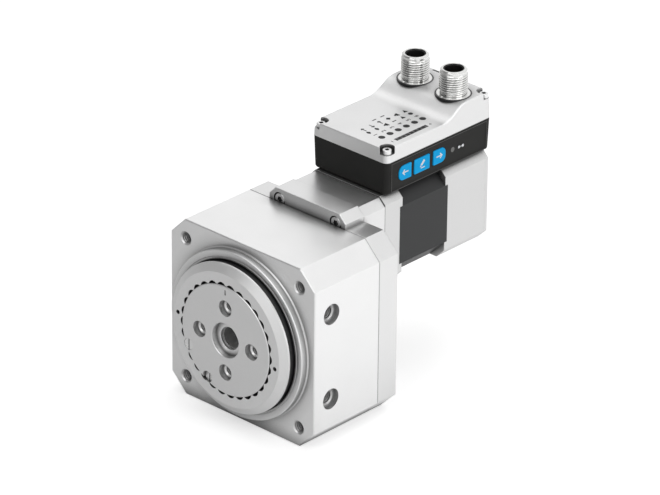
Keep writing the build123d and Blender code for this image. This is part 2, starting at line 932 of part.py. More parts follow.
def stator_windings():
    inner = stator_bore_radius + winding_bore_step
    bar = Rectangle(winding_outer_radius - inner, winding_slot_width)
    body = tube(winding_outer_radius, inner, stator_back, stator_back + winding_end_length, 0, motor_z)
    for place in winding_places():
        coil = place * (Pos((winding_outer_radius + inner) / 2, 0) * bar)
        body += along_y(coil, stator_front, stator_back + past)
    return body


def motor_rear_housing():
    shank_radius = small_screw[0]
    body = along_y(motor_outline(motor_corner), stator_back, rear_housing_back)
    ears = motor_outline(motor_corner) - motor_outline(stator_corner)
    body += along_y(ears, stator_back - ear_length, stator_back)
    body -= rod(winding_outer_radius + winding_room, stator_back - past, rear_bearing_front, 0, motor_z)
    body -= rod(motor_bearing_radius, rear_bearing_front - past, rear_bearing_back, 0, motor_z)
    shaft_hole = motor_shaft_radius + motor_shaft_room
    body -= rod(shaft_hole, rear_bearing_front, rear_housing_back + past, 0, motor_z)
    body -= rod(encoder_room_radius, rear_bearing_back + encoder_web, rear_housing_back + past, 0, motor_z)
    body -= rod(encoder_board_radius + running_gap, encoder_front, rear_housing_back + past, 0, motor_z)
    for x, z in square_corners(motor_hole_spacing, motor_z):
        body -= rod(shank_radius + screw_gap, stator_back - ear_length - past, rear_housing_back + past, x, z)
    plug = Pos(0, plug_y) * Rectangle(plug_width, plug_length)
    body -= along_z(plug, motor_z + encoder_room_radius - 2 * past, motor_top + past)
    body -= base_screw_holes(base_screw_back_y)
    return body


def motor_end_cap():
    shank_radius, head_radius, head_height = small_screw
    body = along_y(motor_outline(motor_corner), rear_housing_back, motor_back)
    body = chamfer(body.edges().group_by(Axis.Y)[-1], end_cap_chamfer)
    rim_radius = encoder_board_radius - running_gap
    body += tube(rim_radius, encoder_room_radius, encoder_back, rear_housing_back, 0, motor_z)
    for x, z in square_corners(motor_hole_spacing, motor_z):
        body -= rod(shank_radius + screw_gap, rear_housing_back - past, motor_back + past, x, z)
        body -= rod(head_radius + screw_gap, bolt_seat, motor_back + past, x, z)
    return body


def motor_shaft():
    front = hub_flange_back - pinion_overhang - running_gap
    body = rod(motor_shaft_radius, front, rear_bearing_back + motor_shaft_tail, 0, motor_z)
    return chamfer(body.edges().group_by(Axis.Y)[0], motor_shaft_chamfer)


def rotor_core():
    front = stator_front + rotor_end_gap
    back = stator_back - rotor_end_gap
    radius = stator_bore_radius - rotor_air_gap
    split_front = (front + back - rotor_split_width) / 2
    body = tube(radius, motor_shaft_radius, front, back, 0, motor_z)
    split_back = split_front + rotor_split_width
    body -= tube(radius + past, radius - rotor_split_depth, split_front, split_back, 0, motor_z)
    return body


def motor_bearing_rings(outer, inner):
    rings = []
    for y in (stator_front - motor_bearing_width, rear_bearing_front):
        rings.append(tube(outer, inner, y, y + motor_bearing_width, 0, motor_z))
    return Compound(rings)


def motor_bearing_outers():
    return motor_bearing_rings(motor_bearing_radius, motor_bearing_split_radius + running_gap)


def motor_bearing_inners():
    return motor_bearing_rings(motor_bearing_split_radius, motor_shaft_radius)


def encoder_magnet():
    front = rear_bearing_back + motor_shaft_tail
    return rod(encoder_magnet_radius, front, encoder_front - encoder_magnet_gap, 0, motor_z)


def encoder_board():
    body = rod(encoder_board_radius, encoder_front, encoder_back, 0, motor_z)
    for x, rise, width, height, thickness in encoder_parts:
        outline = Pos(x, motor_z + rise) * Rectangle(width, height)
        body += along_y(outline, encoder_back, encoder_back + thickness)
    return body


# Screws of the housing and the motor
def cover_plate_screws():
    length = plate_screw_seat - housing_depth + rear_thread_depth - screw_end_gap
    screw = cap_screw(plate_screw, length)
    places = square_corners(corner_hole_spacing)
    return Compound([facing_back(x, plate_screw_seat, z, screw) for x, z in places])


def motor_mount_screws():
    screw = cap_screw(small_screw, motor_front + mount_screw_engagement - mount_screw_seat)
    places = square_corners(motor_hole_spacing, motor_z)
    return Compound([facing_front(x, mount_screw_seat, z, screw) for x, z in places])


def motor_through_bolts():
    shank_radius, head_radius, head_height = small_screw
    size = (shank_radius, head_radius, bolt_head_height)
    bolt = cap_screw(size, bolt_seat - stator_front + bolt_engagement)
    places = square_corners(motor_hole_spacing, motor_z)
    return Compound([facing_back(x, bolt_seat, z, bolt) for x, z in places])


# Controller base and cover
def plan(inset):
    width = 2 * (controller_half - inset)
    length = controller_length - 2 * inset
    radius = max(controller_corner - inset, 0.5)
    return Pos(0, controller_middle) * RectangleRounded(width, length, radius)


def cover_screw_places():
    depths = (cover_screw_front_y, cover_screw_back_y)
    return [(x, y) for x in (-cover_screw_x, cover_screw_x) for y in depths]


def base_screw_places():
    depths = (base_screw_front_y, base_screw_back_y)
    return [(x, y) for x in (-base_screw_x, base_screw_x) for y in depths]


def board_post_places():
    sides = (board_left + board_post_inset, board_right - board_post_inset)
    depths = (board_front + board_post_inset, board_back - board_post_inset)
    return [(x, y) for x in sides for y in depths]


def key_outline(index, grow):
    start = key_starts[index] - grow
    end = key_starts[index] + key_lengths[index] + grow
    box = Pos((start + end) / 2, key_middle) * Rectangle(end - start, key_height + 2 * grow)
    corners = box.vertices().sort_by(Axis.X)
    if index == 0:
        outline = fillet(corners[:2], key_round + grow)
        sharp = outline.vertices().filter_by_position(Axis.X, end - 0.01, end + 0.01)
    elif index == 2:
        outline = fillet(corners[2:], key_round + grow)
        sharp = outline.vertices().filter_by_position(Axis.X, start - 0.01, start + 0.01)
    else:
        outline = box
        sharp = outline.vertices()
    return fillet(sharp, key_corner)


def base_shell():
    outer = extrude(Plane.XY.offset(parting_height) * plan(0), -base_height, taper=base_draft)
    outer = fillet(outer.edges().group_by(Axis.Z)[0], base_edge_round)
    depth = base_height - controller_floor + past
    inner = extrude(Plane.XY.offset(parting_height + past) * plan(controller_wall), -depth, taper=base_draft)
    body = outer - inner
    for x, y in cover_screw_places():
        post = Pos(x, y) * Circle(cover_screw_post_radius)
        body += along_z(post, motor_top + cover_screw_post_lift, parting_height) & outer
    for x, y in board_post_places():
        body += along_z(Pos(x, y) * Circle(board_post_radius), base_floor_top - past, board_bottom)
    return body


def controller_base():
    body = base_shell()
    ledge = plan(controller_wall - gasket_width)
    body -= along_z(ledge, parting_height - gasket_height, parting_height + past)
    screw_bottom = parting_height - cover_screw_engagement - screw_end_gap
    for x, y in cover_screw_places():
        body -= along_z(Pos(x, y) * Circle(cover_screw[0]), screw_bottom, parting_height + past)
    for x, y in board_post_places():
        core = Pos(x, y) * Circle(board_screw[0])
        body -= along_z(core, board_bottom - board_screw_engagement - running_gap, board_bottom + past)
    inside = controller_half - controller_wall - base_height / 4
    outside = controller_half + past
    for index in range(len(key_starts)):
        body -= along_x(key_outline(index, key_clearance), inside, outside)
    body -= along_x(Pos(lens_y, lens_z) * Circle(lens_radius), inside, outside)
    plug_hole = Pos(0, plug_y) * Rectangle(plug_width, plug_length)
    body -= along_z(plug_hole, motor_top - past, base_floor_top + past)
    for x, y in base_screw_places():
        shank = Pos(x, y) * Circle(base_screw[0] + screw_gap)
        body -= along_z(shank, motor_top - past, base_floor_top + past)
    return body


def cover_profile(drop):
    low = cover_low_top - drop
    high = cover_high_top - drop
    front = controller_front - past
    back = controller_back + past
    ramp = Spline((ramp_start, low), (ramp_end, high), tangents=((1, 0), (1, 0)))
    outline = [
        Line((front, parting_height), (front, low)),
        Line((front, low), (ramp_start, low)),
        ramp,
        Line((ramp_end, high), (back, high)),
        Line((back, high), (back, parting_height)),
        Line((back, parting_height), (front, parting_height)),
    ]
    return make_face(outline)


def cover_form(inset):
    prism = along_x(cover_profile(inset), -2 * controller_half, 2 * controller_half)
    height = cover_high_top - parting_height + past
    walls = extrude(Plane.XY.offset(parting_height) * plan(inset), height, taper=cover_draft)
    return prism & walls


def is_lying(edge):
    return abs(edge.tangent_at(0.5).Z) < 0.8


def cover_hollow():
    body = cover_form(controller_wall)
    for x, y in cover_screw_places():
        notch = Pos(x, y) * Circle(cover_notch_radius + cover_notch_wall)
        body -= along_z(notch, parting_height - past, cover_high_top)
    for side in (-1, 1):
        boss = Pos(side * connector_x, connector_y) * Circle(connector_seal_radius + connector_boss_wall)
        body -= along_z(boss, cover_high_top - connector_boss_depth, cover_high_top)
    return body


def cover_screw_seat(y):
    top = cover_low_top if y < ramp_start else cover_high_top
    return top - cover_notch_depth


def controller_cover():
    body = cover_form(0)
    rim = [e for e in body.edges() if e.center().Z > parting_height + past and is_lying(e)]
    body = fillet(rim, cover_edge_round)
    body -= cover_hollow()
    for x, y in cover_screw_places():
        body -= along_z(Pos(x, y) * Circle(cover_notch_radius), cover_screw_seat(y), cover_high_top + past)
        shank = Pos(x, y) * Circle(cover_screw[0] + screw_gap)
        body -= along_z(shank, parting_height - past, cover_high_top + past)
    for side in (-1, 1):
        place = Pos(side * connector_x, connector_y)
        body -= along_z(place * Circle(connector_seal_radius), connector_foot_bottom, cover_high_top + past)
        body -= along_z(place * Circle(connector_thread_radius), parting_height, cover_high_top + past)
    for place in window_places():
        body -= along_z(place * Circle(window_radius), parting_height, cover_high_top)
    body -= along_z(bar_place() * Rectangle(bar_width, bar_length), window_floor - past, cover_high_top)
    slot = Pos(pry_slot_x, controller_back - pry_slot_back_inset)
    slot = slot * Rectangle(pry_slot_length, pry_slot_width)
    body -= along_z(slot, cover_high_top - pry_slot_depth, cover_high_top + past)
    return body


def cover_gasket():
    frame = plan(controller_wall - gasket_width) - plan(controller_wall)
    body = along_z(frame, parting_height - gasket_height, parting_height)
    for x, y in cover_screw_places():
        shank = Pos(x, y) * Circle(cover_screw[0] + screw_gap)
        body -= along_z(shank, parting_height - past, parting_height + past)
    return body


def cover_screws():
    screws = []
    for x, y in cover_screw_places():
        seat = cover_screw_seat(y)
        screw = cap_screw(cover_screw, seat - parting_height + cover_screw_engagement)
        screws.append(Pos(x, y, seat) * screw)
    return Compound(screws)


def base_screws():
    screw = cap_screw(base_screw, controller_floor + base_screw_engagement)
    return Compound([Pos(x, y, base_floor_top) * screw for x, y in base_screw_places()])


def circuit_board():
    middle = Pos((board_left + board_right) / 2, (board_front + board_back) / 2)
    board = middle * Rectangle(board_right - board_left, board_back - board_front)
    body = along_z(board, board_bottom, board_top)
    for x, inset, width, length, height in board_parts:
        place = Pos(x, board_front + inset)
        body += along_z(place * Rectangle(width, length), board_top, board_top + height)
    for side_inset, inset, radius, height in board_capacitors:
        place = Pos(board_left + side_inset, board_front + inset)
        body += along_z(place * Circle(radius), board_top, board_top + height)
    for x, y in board_post_places():
        shank = Pos(x, y) * Circle(board_screw[0] + screw_gap)
        body -= along_z(shank, board_bottom - past, board_top + past)
    return body


def board_screws():
    screw = cap_screw(board_screw, board_thickness + board_screw_engagement)
    return Compound([Pos(x, y, board_top) * screw for x, y in board_post_places()])


def motor_plug():
    shape = Pos(0, plug_y) * Rectangle(plug_width - 2 * free_gap, plug_length - 2 * free_gap)
    return along_z(shape, motor_z + encoder_room_radius + plug_lift, board_bottom)


# Keys, switch board, windows and lens
def inner_side(z):
    # The drafted inner face of the base's right wall at height z
    lean = math.tan(math.radians(base_draft))
    return controller_half - controller_wall - (parting_height + past - z) * lean


def key_flange_face():
    return inner_side(key_bottom - key_flange) - free_gap


def switch_face():
    return key_flange_face() - key_flange_thickness - key_travel - free_gap


def key_cap(index):
    flange_face = key_flange_face()
    back = flange_face - key_flange_thickness
    cap = along_x(key_outline(index, 0), back, controller_half)
    return cap + along_x(key_outline(index, key_flange), back, flange_face)


def key_board():
    stem_foot = switch_face() - switch_stem_height
    plate_face = stem_foot - switch_height
    start = key_starts[0] - key_board_overhang
    end = key_starts[-1] + key_lengths[-1] + key_board_overhang
    top = parting_height - key_board_top_inset
    plate = Rectangle(end - start, top - base_floor_top)
    plate = Pos((start + end) / 2, (base_floor_top + top) / 2) * plate
    body = along_x(plate, plate_face - key_board_thickness, plate_face)
    for key_start, extent in zip(key_starts, key_lengths):
        centre = Pos(key_start + extent / 2, key_middle)
        body += along_x(centre * Rectangle(switch_width, switch_width), plate_face, stem_foot)
        body += along_x(centre * Circle(switch_stem_radius), stem_foot, stem_foot + switch_stem_height)
    return body


def window_places():
    return [Pos(window_x, window_first_y + index * window_pitch) for index in range(window_count)]


def bar_place():
    return Pos(bar_x, bar_front + bar_length / 2)


def indicator_windows():
    pieces = []
    for place in window_places():
        light_pipe = along_z(place * Circle(window_radius), window_floor, cover_low_top)
        rim = place * Circle(window_radius + window_rim)
        pieces.append(light_pipe + along_z(rim, window_floor - window_rim_height, window_floor))
    return Compound(pieces)


def bar_window():
    body = along_z(bar_place() * Rectangle(bar_width, bar_length), window_floor, cover_low_top)
    rim = bar_place() * Rectangle(bar_width + 2 * bar_rim, bar_length + 2 * bar_rim)
    return body + along_z(rim, window_floor - window_rim_height, window_floor)


def status_lens():
    back = inner_side(lens_z - lens_seat_radius) - running_gap
    front = back - lens_lip_thickness
    body = along_x(Pos(lens_y, lens_z) * Circle(lens_radius), front, controller_half - lens_face_inset)
    return body + along_x(Pos(lens_y, lens_z) * Circle(lens_seat_radius), front, back)


# Round plug connectors
def connector_shell(side):
    place = Pos(side * connector_x, connector_y)
    shank_bottom = cover_high_top - connector_shank_length
    body = along_z(place * Circle(connector_foot_radius), connector_foot_bottom, connector_foot_top)
    thread = along_z(place * Circle(connector_thread_radius), connector_foot_top, connector_top)
    body += chamfer(thread.edges().group_by(Axis.Z)[-1], connector_chamfer)
    body += along_z(place * Circle(connector_thread_radius), shank_bottom, connector_foot_bottom)
    body -= along_z(place * Circle(connector_bore_radius), shank_bottom - past, connector_top + past)
    notch = Pos(side * connector_x, connector_y - connector_foot_radius)
    notch = notch * Rectangle(connector_key_width, 2 * connector_key_depth)
    body -= along_z(notch, connector_foot_bottom - past, connector_foot_top + past)
    return body


def pin_places(side):
    count = pin_counts[0] if side < 0 else pin_counts[1]
    places = []
    for index in range(4):
        x, y = polar(pin_circle_radius, 45 + 90 * index)
        places.append((side * connector_x + x, connector_y + y))
    if count > 4:
        places.append((side * connector_x, connector_y))
    return places


def connector_insert(side):
    floor = cover_high_top + insert_floor_height
    bottom = cover_high_top - insert_depth
    body = along_z(Pos(side * connector_x, connector_y) * Circle(connector_bore_radius), bottom, floor)
    for x, y in pin_places(side):
        body -= along_z(Pos(x, y) * Circle(pin_radius), bottom - past, floor + past)
    return body


def connector_pins(side):
    bottom = cover_high_top - pin_depth
    top = cover_high_top + insert_floor_height + pin_length
    pins = []
    for x, y in pin_places(side):
        pin = along_z(Pos(x, y) * Circle(pin_radius), bottom, top)
        pins.append(chamfer(pin.edges().group_by(Axis.Z)[-1], pin_chamfer))
    return Compound(pins)


def connector_seals():
    rings = []
    for side in (-1, 1):
        place = Pos(side * connector_x, connector_y)
        ring = place * (Circle(connector_seal_radius) - Circle(connector_foot_radius))
        rings.append(along_z(ring, connector_foot_bottom, cover_high_top + connector_seal_height))
    return Compound(rings)


os.makedirs("parts", exist_ok=True)
nodes = {
    "gear_housing": gear_housing(),
    "rear_cover": rear_cover(),
    "motor_adapter": motor_adapter(),
    "dust_seal": dust_seal(),
    "bearing_retainer": bearing_retainer(),
    "bearing_outer_rings": bearing_outer_rings(),
    "bearing_inner_rings": bearing_inner_rings(),
    "bearing_balls": bearing_balls(),
    "bearing_cages": bearing_cages(),
    "tail_bearing_outer": tail_bearing_outer(),
    "tail_bearing_inner": tail_bearing_inner(),
    "end_stop_segment": end_stop_segment(),
    "stop_buffers": stop_buffers(),
    "output_hub": output_hub(),
    "clamp_ring": clamp_ring(),
    "lock_screws": lock_screws(),
    "output_gear": output_gear(),
    "gear_screws": gear_screws(),
    "pinion": pinion(),
    "motor_shaft": motor_shaft(),
    "rotor_core": rotor_core(),
    "motor_bearing_inners": motor_bearing_inners(),
    "motor_bearing_outers": motor_bearing_outers(),
    "encoder_magnet": encoder_magnet(),
    "encoder_board": encoder_board(),
    "motor_front_flange": motor_front_flange(),
    "stator_stack": stator_stack(),
    "stator_windings": stator_windings(),
    "motor_rear_housing": motor_rear_housing(),
    "motor_end_cap": motor_end_cap(),
    "cover_plate_screws": cover_plate_screws(),
    "motor_mount_screws": motor_mount_screws(),
    "motor_through_bolts": motor_through_bolts(),
    "controller_base": controller_base(),
    "controller_cover": controller_cover(),
    "cover_gasket": cover_gasket(),
    "cover_screws": cover_screws(),
    "base_screws": base_screws(),
    "circuit_board": circuit_board(),
    "board_screws": board_screws(),
    "motor_plug": motor_plug(),
    "key_board": key_board(),
    "left_key": key_cap(0),
    "middle_key": key_cap(1),
    "right_key": key_cap(2),
    "indicator_windows": indicator_windows(),
    "bar_window": bar_window(),
    "status_lens": status_lens(),
    "power_connector_shell": connector_shell(-1),
    "power_connector_insert": connector_insert(-1),
    "power_connector_pins": connector_pins(-1),
    "signal_connector_shell": connector_shell(1),
    "signal_connector_insert": connector_insert(1),
    "signal_connector_pins": connector_pins(1),
    "connector_seals": connector_seals(),
}
for name, shape in nodes.items():
    export_step(shape, "parts/" + name + ".step")
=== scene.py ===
import json
import math

import bmesh
import bpy
from mathutils import Matrix, Vector


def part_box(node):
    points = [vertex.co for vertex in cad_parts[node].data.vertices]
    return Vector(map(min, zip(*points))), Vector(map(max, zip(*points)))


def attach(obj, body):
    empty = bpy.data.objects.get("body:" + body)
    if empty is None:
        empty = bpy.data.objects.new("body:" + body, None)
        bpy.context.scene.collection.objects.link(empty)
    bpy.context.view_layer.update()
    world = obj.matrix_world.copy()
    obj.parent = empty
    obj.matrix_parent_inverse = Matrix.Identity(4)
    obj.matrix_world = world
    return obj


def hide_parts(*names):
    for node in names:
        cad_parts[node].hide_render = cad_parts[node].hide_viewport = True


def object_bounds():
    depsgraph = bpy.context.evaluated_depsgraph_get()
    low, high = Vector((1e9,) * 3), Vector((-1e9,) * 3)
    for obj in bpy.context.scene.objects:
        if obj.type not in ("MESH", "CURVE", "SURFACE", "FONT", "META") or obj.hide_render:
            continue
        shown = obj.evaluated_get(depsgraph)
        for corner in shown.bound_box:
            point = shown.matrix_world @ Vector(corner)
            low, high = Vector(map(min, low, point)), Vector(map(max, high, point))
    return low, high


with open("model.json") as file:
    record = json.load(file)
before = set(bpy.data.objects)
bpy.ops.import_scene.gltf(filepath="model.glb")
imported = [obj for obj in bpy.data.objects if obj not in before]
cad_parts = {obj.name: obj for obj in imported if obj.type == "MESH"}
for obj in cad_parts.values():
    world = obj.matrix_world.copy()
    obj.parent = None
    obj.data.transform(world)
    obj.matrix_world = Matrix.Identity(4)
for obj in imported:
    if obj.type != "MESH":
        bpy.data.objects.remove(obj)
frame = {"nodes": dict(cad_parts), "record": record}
cad_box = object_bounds()

# Metres in a millimetre
MM = 0.001

X_AXIS = Vector((1.0, 0.0, 0.0))
Y_AXIS = Vector((0.0, 1.0, 0.0))
Z_AXIS = Vector((0.0, 0.0, 1.0))

# Camera: angles in degrees, places and distances in millimetres, clip range in metres

CAMERA_AZIMUTH = 42.83
CAMERA_ELEVATION = 26.81
CAMERA_ROLL = 0.581
CAMERA_DISTANCE = 2028.9
CAMERA_TARGET = Vector((0.0, 60.0, 20.0))
CAMERA_SHIFT_RIGHT = -5.75
CAMERA_SHIFT_UP = -3.04
CAMERA_LENS = 270.9
SENSOR_WIDTH = 36.0
CLIP_START = 0.1
CLIP_END = 20.0


def make_camera():
    azimuth = math.radians(CAMERA_AZIMUTH)
    elevation = math.radians(CAMERA_ELEVATION)
    roll = math.radians(CAMERA_ROLL)
    level_right = Vector((math.cos(azimuth), math.sin(azimuth), 0.0))
    level_back = Vector((math.sin(azimuth), -math.cos(azimuth), 0.0))
    back = level_back * math.cos(elevation) + Z_AXIS * math.sin(elevation)
    level_up = back.cross(level_right)
    right = level_right * math.cos(roll) + level_up * math.sin(roll)
    up = level_up * math.cos(roll) - level_right * math.sin(roll)
    place = CAMERA_TARGET + back * CAMERA_DISTANCE
    place += right * CAMERA_SHIFT_RIGHT + up * CAMERA_SHIFT_UP
    data = bpy.data.cameras.new("camera")
    data.lens = CAMERA_LENS
    data.sensor_width = SENSOR_WIDTH
    data.clip_start = CLIP_START
    data.clip_end = CLIP_END
    camera = bpy.data.objects.new("camera", data)
    bpy.context.scene.collection.objects.link(camera)
    turn = Matrix((right, up, back)).transposed()
    camera.matrix_world = Matrix.Translation(place * MM) @ turn.to_4x4()
    bpy.context.scene.camera = camera


# Shader building

# Places of the colour sockets in a mix node
MIX_FIRST = 6
MIX_SECOND = 7
MIX_RESULT = 2

WHITE = (1.0, 1.0, 1.0)


def grey(level):
    return (level, level, level)


class Nodes:
    """A node tree, with short calls for the nodes used here."""

    def __init__(self, tree):
        self.tree = tree

    def node(self, kind, **settings):
        made = self.tree.nodes.new(kind)
        for key, value in settings.items():
            setattr(made, key, value)
        return made

    def feed(self, socket, source):
        """Links the output of another node to the socket, or sets a plain value on it."""
        if isinstance(source, bpy.types.NodeSocket):
            self.tree.links.new(source, socket)
        else:
            socket.default_value = source

    def math(self, operation, *values):
        made = self.node("ShaderNodeMath", operation=operation)
        for socket, value in zip(made.inputs, values):
            self.feed(socket, value)
        return made.outputs[0]

    def wave(self, value, pitch):
        """A sine that repeats at this pitch."""
        return self.math("SINE", self.math("MULTIPLY", value, 2 * math.pi / pitch))

    def split(self, place):
        """The three parts of a vector."""
        made = self.node("ShaderNodeSeparateXYZ")
        self.feed(made.inputs[0], place)
        return made.outputs

    def ramp(self, value, low, high, from_low=0.0, from_high=1.0, interpolation="LINEAR"):
        """Goes from low to high as the value goes through its own range."""
        made = self.node("ShaderNodeMapRange", interpolation_type=interpolation)
        self.feed(made.inputs["Value"], value)
        self.feed(made.inputs["From Min"], from_low)
        self.feed(made.inputs["From Max"], from_high)
        self.feed(made.inputs["To Min"], low)
        self.feed(made.inputs["To Max"], high)
        return made.outputs["Result"]

    def blend_colour(self, share, first, second, blend="MIX"):
        made = self.node("ShaderNodeMix", data_type="RGBA", blend_type=blend)
        self.feed(made.inputs["Factor"], share)
        for index, colour in ((MIX_FIRST, first), (MIX_SECOND, second)):
            self.feed(made.inputs[index], (*colour, 1.0) if isinstance(colour, tuple) else colour)
        return made.outputs[MIX_RESULT]


class Shader(Nodes):
    """One material with its surface. Lengths are in millimetres."""

    def __init__(self, name, colour, metallic, roughness):
        self.material = bpy.data.materials.new(name)
        self.material.use_nodes = True
        super().__init__(self.material.node_tree)
        self.surface = self.tree.nodes["Principled BSDF"]
        self.set("Base Color", (*colour, 1.0))
        self.set("Metallic", metallic)
        self.set("Roughness", roughness)
        scaled = self.node("ShaderNodeVectorMath", operation="SCALE")
        self.feed(scaled.inputs[0], self.node("ShaderNodeTexCoord").outputs["Object"])
        self.feed(scaled.inputs["Scale"], 1.0 / MM)
        self.place = scaled.outputs[0]

    def set(self, socket, source):
        self.feed(self.surface.inputs[socket], source)

    def noise(self, size, detail, stretch=(1.0, 1.0, 1.0)):
        """Noise from 0 to 1, in patches of about this size."""
        spread = self.node("ShaderNodeVectorMath", operation="MULTIPLY")
        self.feed(spread.inputs[0], self.place)
        self.feed(spread.inputs[1], tuple(1.0 / (size * part) for part in stretch))
        made = self.node("ShaderNodeTexNoise")
        self.feed(made.inputs["Detail"], detail)
        self.feed(made.inputs["Scale"], 1.0)
        self.feed(made.inputs["Vector"], spread.outputs[0])
        return made.outputs["Fac"]

    def along_y(self):
        return self.split(self.place)[1]

    def around_y(self, height=0.0):
        """Distance from an axis along Y at this height."""
        parts = self.split(self.place)
        rise = self.math("SUBTRACT", parts[2], height)
        width_squared = self.math("MULTIPLY", parts[0], parts[0])
        rise_squared = self.math("MULTIPLY", rise, rise)
        return self.math("SQRT", self.math("ADD", width_squared, rise_squared))

    def shade(self, colour, value, dark, light):
        """The colour varied between two brightness factors by a value from 0 to 1."""
        first = tuple(part * dark for part in colour)
        second = tuple(min(part * light, 1.0) for part in colour)
        return self.blend_colour(value, first, second)

    def vary_roughness(self, value, low, high, from_low=0.3, from_high=0.7):
        """Roughness from low to high, over the middle range of a noise."""
        self.set("Roughness", self.ramp(value, low, high, from_low, from_high))

    def bump(self, height, depth):
        made = self.node("ShaderNodeBump")
        self.feed(made.inputs["Distance"], depth * MM)
        self.feed(made.inputs["Height"], height)
        normal = self.surface.inputs["Normal"]
        if normal.is_linked:
            self.feed(made.inputs["Normal"], normal.links[0].from_socket)
        self.feed(normal, made.outputs["Normal"])

    def crevices(self, colour, reach, dark, shaded_from=0.35, clear_from=0.85):
        """Painted shade: the colour darkened where other surfaces stand close, as in holes, seams and slots.
        """
        # Occlusion turned into painted shade in the base colour
        room = self.node("ShaderNodeAmbientOcclusion", samples=8)
        self.feed(room.inputs["Distance"], reach * MM)
        clear = self.ramp(room.outputs["AO"], 0.0, 1.0, shaded_from, clear_from)
        painted_shade_factor = self.blend_colour(clear, grey(dark), WHITE)
        return self.blend_colour(1.0, colour, painted_shade_factor, "MULTIPLY")

    def soften_edges(self, radius):
        bevel = self.node("ShaderNodeBevel", samples=4)
        self.feed(bevel.inputs["Radius"], radius * MM)
        self.set("Normal", bevel.outputs[0])


# Materials, with grain, pitch, edge, depth and the reach of painted shade in millimetres

CLOUD_SIZE = 14.0
BLASTED_SHADED_FROM = 0.4
TURNED_EDGE = 0.12
TURNED_DEPTH = 0.004
# Reach and level of the painted shade in holes and seams of turned metal
TURNED_SHADE_REACH = 3.0
TURNED_PAINTED_SHADE = 0.15
SHEET_THICKNESS = 0.5
WIRE_PITCH = 0.4
MOTOR_AXIS_HEIGHT = 25.5
BAR_SEGMENT = 2.375
BAR_GAP_SHARE = 0.16
SOFT_SPECULAR = 0.3
WINDOW_SPECULAR = 0.2
KEY_SPECULAR = 0.12
BASE_SPECULAR = 0.08
PRINT_SPECULAR = 0.15


def blasted_metal(
    name, colour, metallic, roughness, grain, depth, reach=5.0, dark=0.25, clear_from=0.9, edge=0.3
):
    """Matt metal with a fine grain. Its colour has painted shade in holes, seams and slots within the reach,
    down to the dark share.
    """
    shader = Shader(name, colour, metallic, roughness)
    fine = shader.noise(grain, detail=3.0)
    cloud = shader.noise(CLOUD_SIZE, detail=3.0)
    shader.soften_edges(edge)
    shader.bump(fine, depth)
    mixed = shader.math("MULTIPLY", shader.math("ADD", fine, cloud), 0.5)
    varied = shader.shade(colour, mixed, dark=0.95, light=1.05)
    # Painted shade darkens the colour where other surfaces stand close
    shader.set("Base Color", shader.crevices(varied, reach, dark, BLASTED_SHADED_FROM, clear_from))
    shader.vary_roughness(cloud, low=roughness - 0.03, high=roughness + 0.04)
    return shader.material


def turned_metal(name, colour, metallic, roughness, pitch):
    """Metal with fine rings about the output axis."""
    shader = Shader(name, colour, metallic, roughness)
    rings = shader.wave(shader.around_y(), pitch)
    uneven = shader.noise(size=3.0, detail=2.0)
    shader.soften_edges(TURNED_EDGE)
    shader.bump(shader.math("MULTIPLY", rings, uneven), TURNED_DEPTH)
    varied = shader.shade(colour, shader.noise(size=0.3, detail=2.0), dark=0.96, light=1.04)
    # Painted shade darkens the colour in holes, seams and slots
    shader.set("Base Color", shader.crevices(varied, TURNED_SHADE_REACH, TURNED_PAINTED_SHADE))
    shader.vary_roughness(uneven, low=roughness - 0.03, high=roughness + 0.04)
    return shader.material


def moulded_plastic(name, colour, roughness, grain, depth, specular=SOFT_SPECULAR):
    shader = Shader(name, colour, metallic=0.0, roughness=roughness)
    fine = shader.noise(grain, detail=2.0)
    shader.soften_edges(radius=0.2)
    shader.bump(fine, depth)
    cloud = shader.noise(size=10.0, detail=2.0)
    shader.set("Base Color", shader.shade(colour, cloud, dark=0.9, light=1.12))
    shader.vary_roughness(fine, low=roughness - 0.05, high=roughness + 0.06)
    shader.set("Specular IOR Level", specular)
    return shader.material


def laminated_steel(name, colour):
    """A stack of thin sheets, one behind the other along Y."""
    shader = Shader(name, colour, metallic=0.2, roughness=0.45)
    sheets = shader.wave(shader.along_y(), SHEET_THICKNESS)
    patchy = shader.noise(size=1.6, detail=3.0, stretch=(4.0, 0.3, 4.0))
    shader.soften_edges(radius=0.2)
    shader.bump(shader.math("MULTIPLY", sheets, patchy), depth=0.012)
    varied = shader.shade(colour, patchy, dark=0.9, light=1.15)
    # Painted shade in the seams and recesses of the stack
    shader.set("Base Color", shader.crevices(varied, reach=6.0, dark=0.35))
    shader.vary_roughness(patchy, low=0.42, high=0.5)
    shader.set("Specular IOR Level", SOFT_SPECULAR)
    return shader.material


def smoked_window(name, colour, roughness):
    shader = Shader(name, colour, metallic=0.0, roughness=roughness)
    dust = shader.noise(size=0.6, detail=4.0)
    shader.set("Base Color", shader.shade(colour, dust, dark=0.8, light=1.5))
    shader.vary_roughness(dust, low=roughness, high=roughness + 0.1, from_low=0.4)
    shader.set("Specular IOR Level", WINDOW_SPECULAR)
    return shader.material


def bar_display(name, colour, line_colour):
    """A smoked window with pale lines between its segments."""
    shader = Shader(name, colour, metallic=0.0, roughness=0.3)
    share = shader.math("FRACT", shader.math("DIVIDE", shader.along_y(), BAR_SEGMENT))
    line = shader.math("LESS_THAN", share, BAR_GAP_SHARE)
    dust = shader.noise(size=0.5, detail=3.0)
    smoked = shader.shade(colour, dust, dark=0.7, light=2.0)
    shader.set("Base Color", shader.blend_colour(line, smoked, line_colour))
    shader.vary_roughness(dust, low=0.28, high=0.4, from_low=0.4)
    shader.set("Specular IOR Level", WINDOW_SPECULAR)
    return shader.material


def wound_copper(name, colour):
    """Wires that lie in rings about the motor axis."""
    shader = Shader(name, colour, metallic=0.8, roughness=0.35)
    shader.bump(shader.wave(shader.around_y(MOTOR_AXIS_HEIGHT), WIRE_PITCH), depth=0.08)
    cloud = shader.noise(size=0.8, detail=3.0)
    shader.set("Base Color", shader.shade(colour, cloud, dark=0.7, light=1.2))
    return shader.material


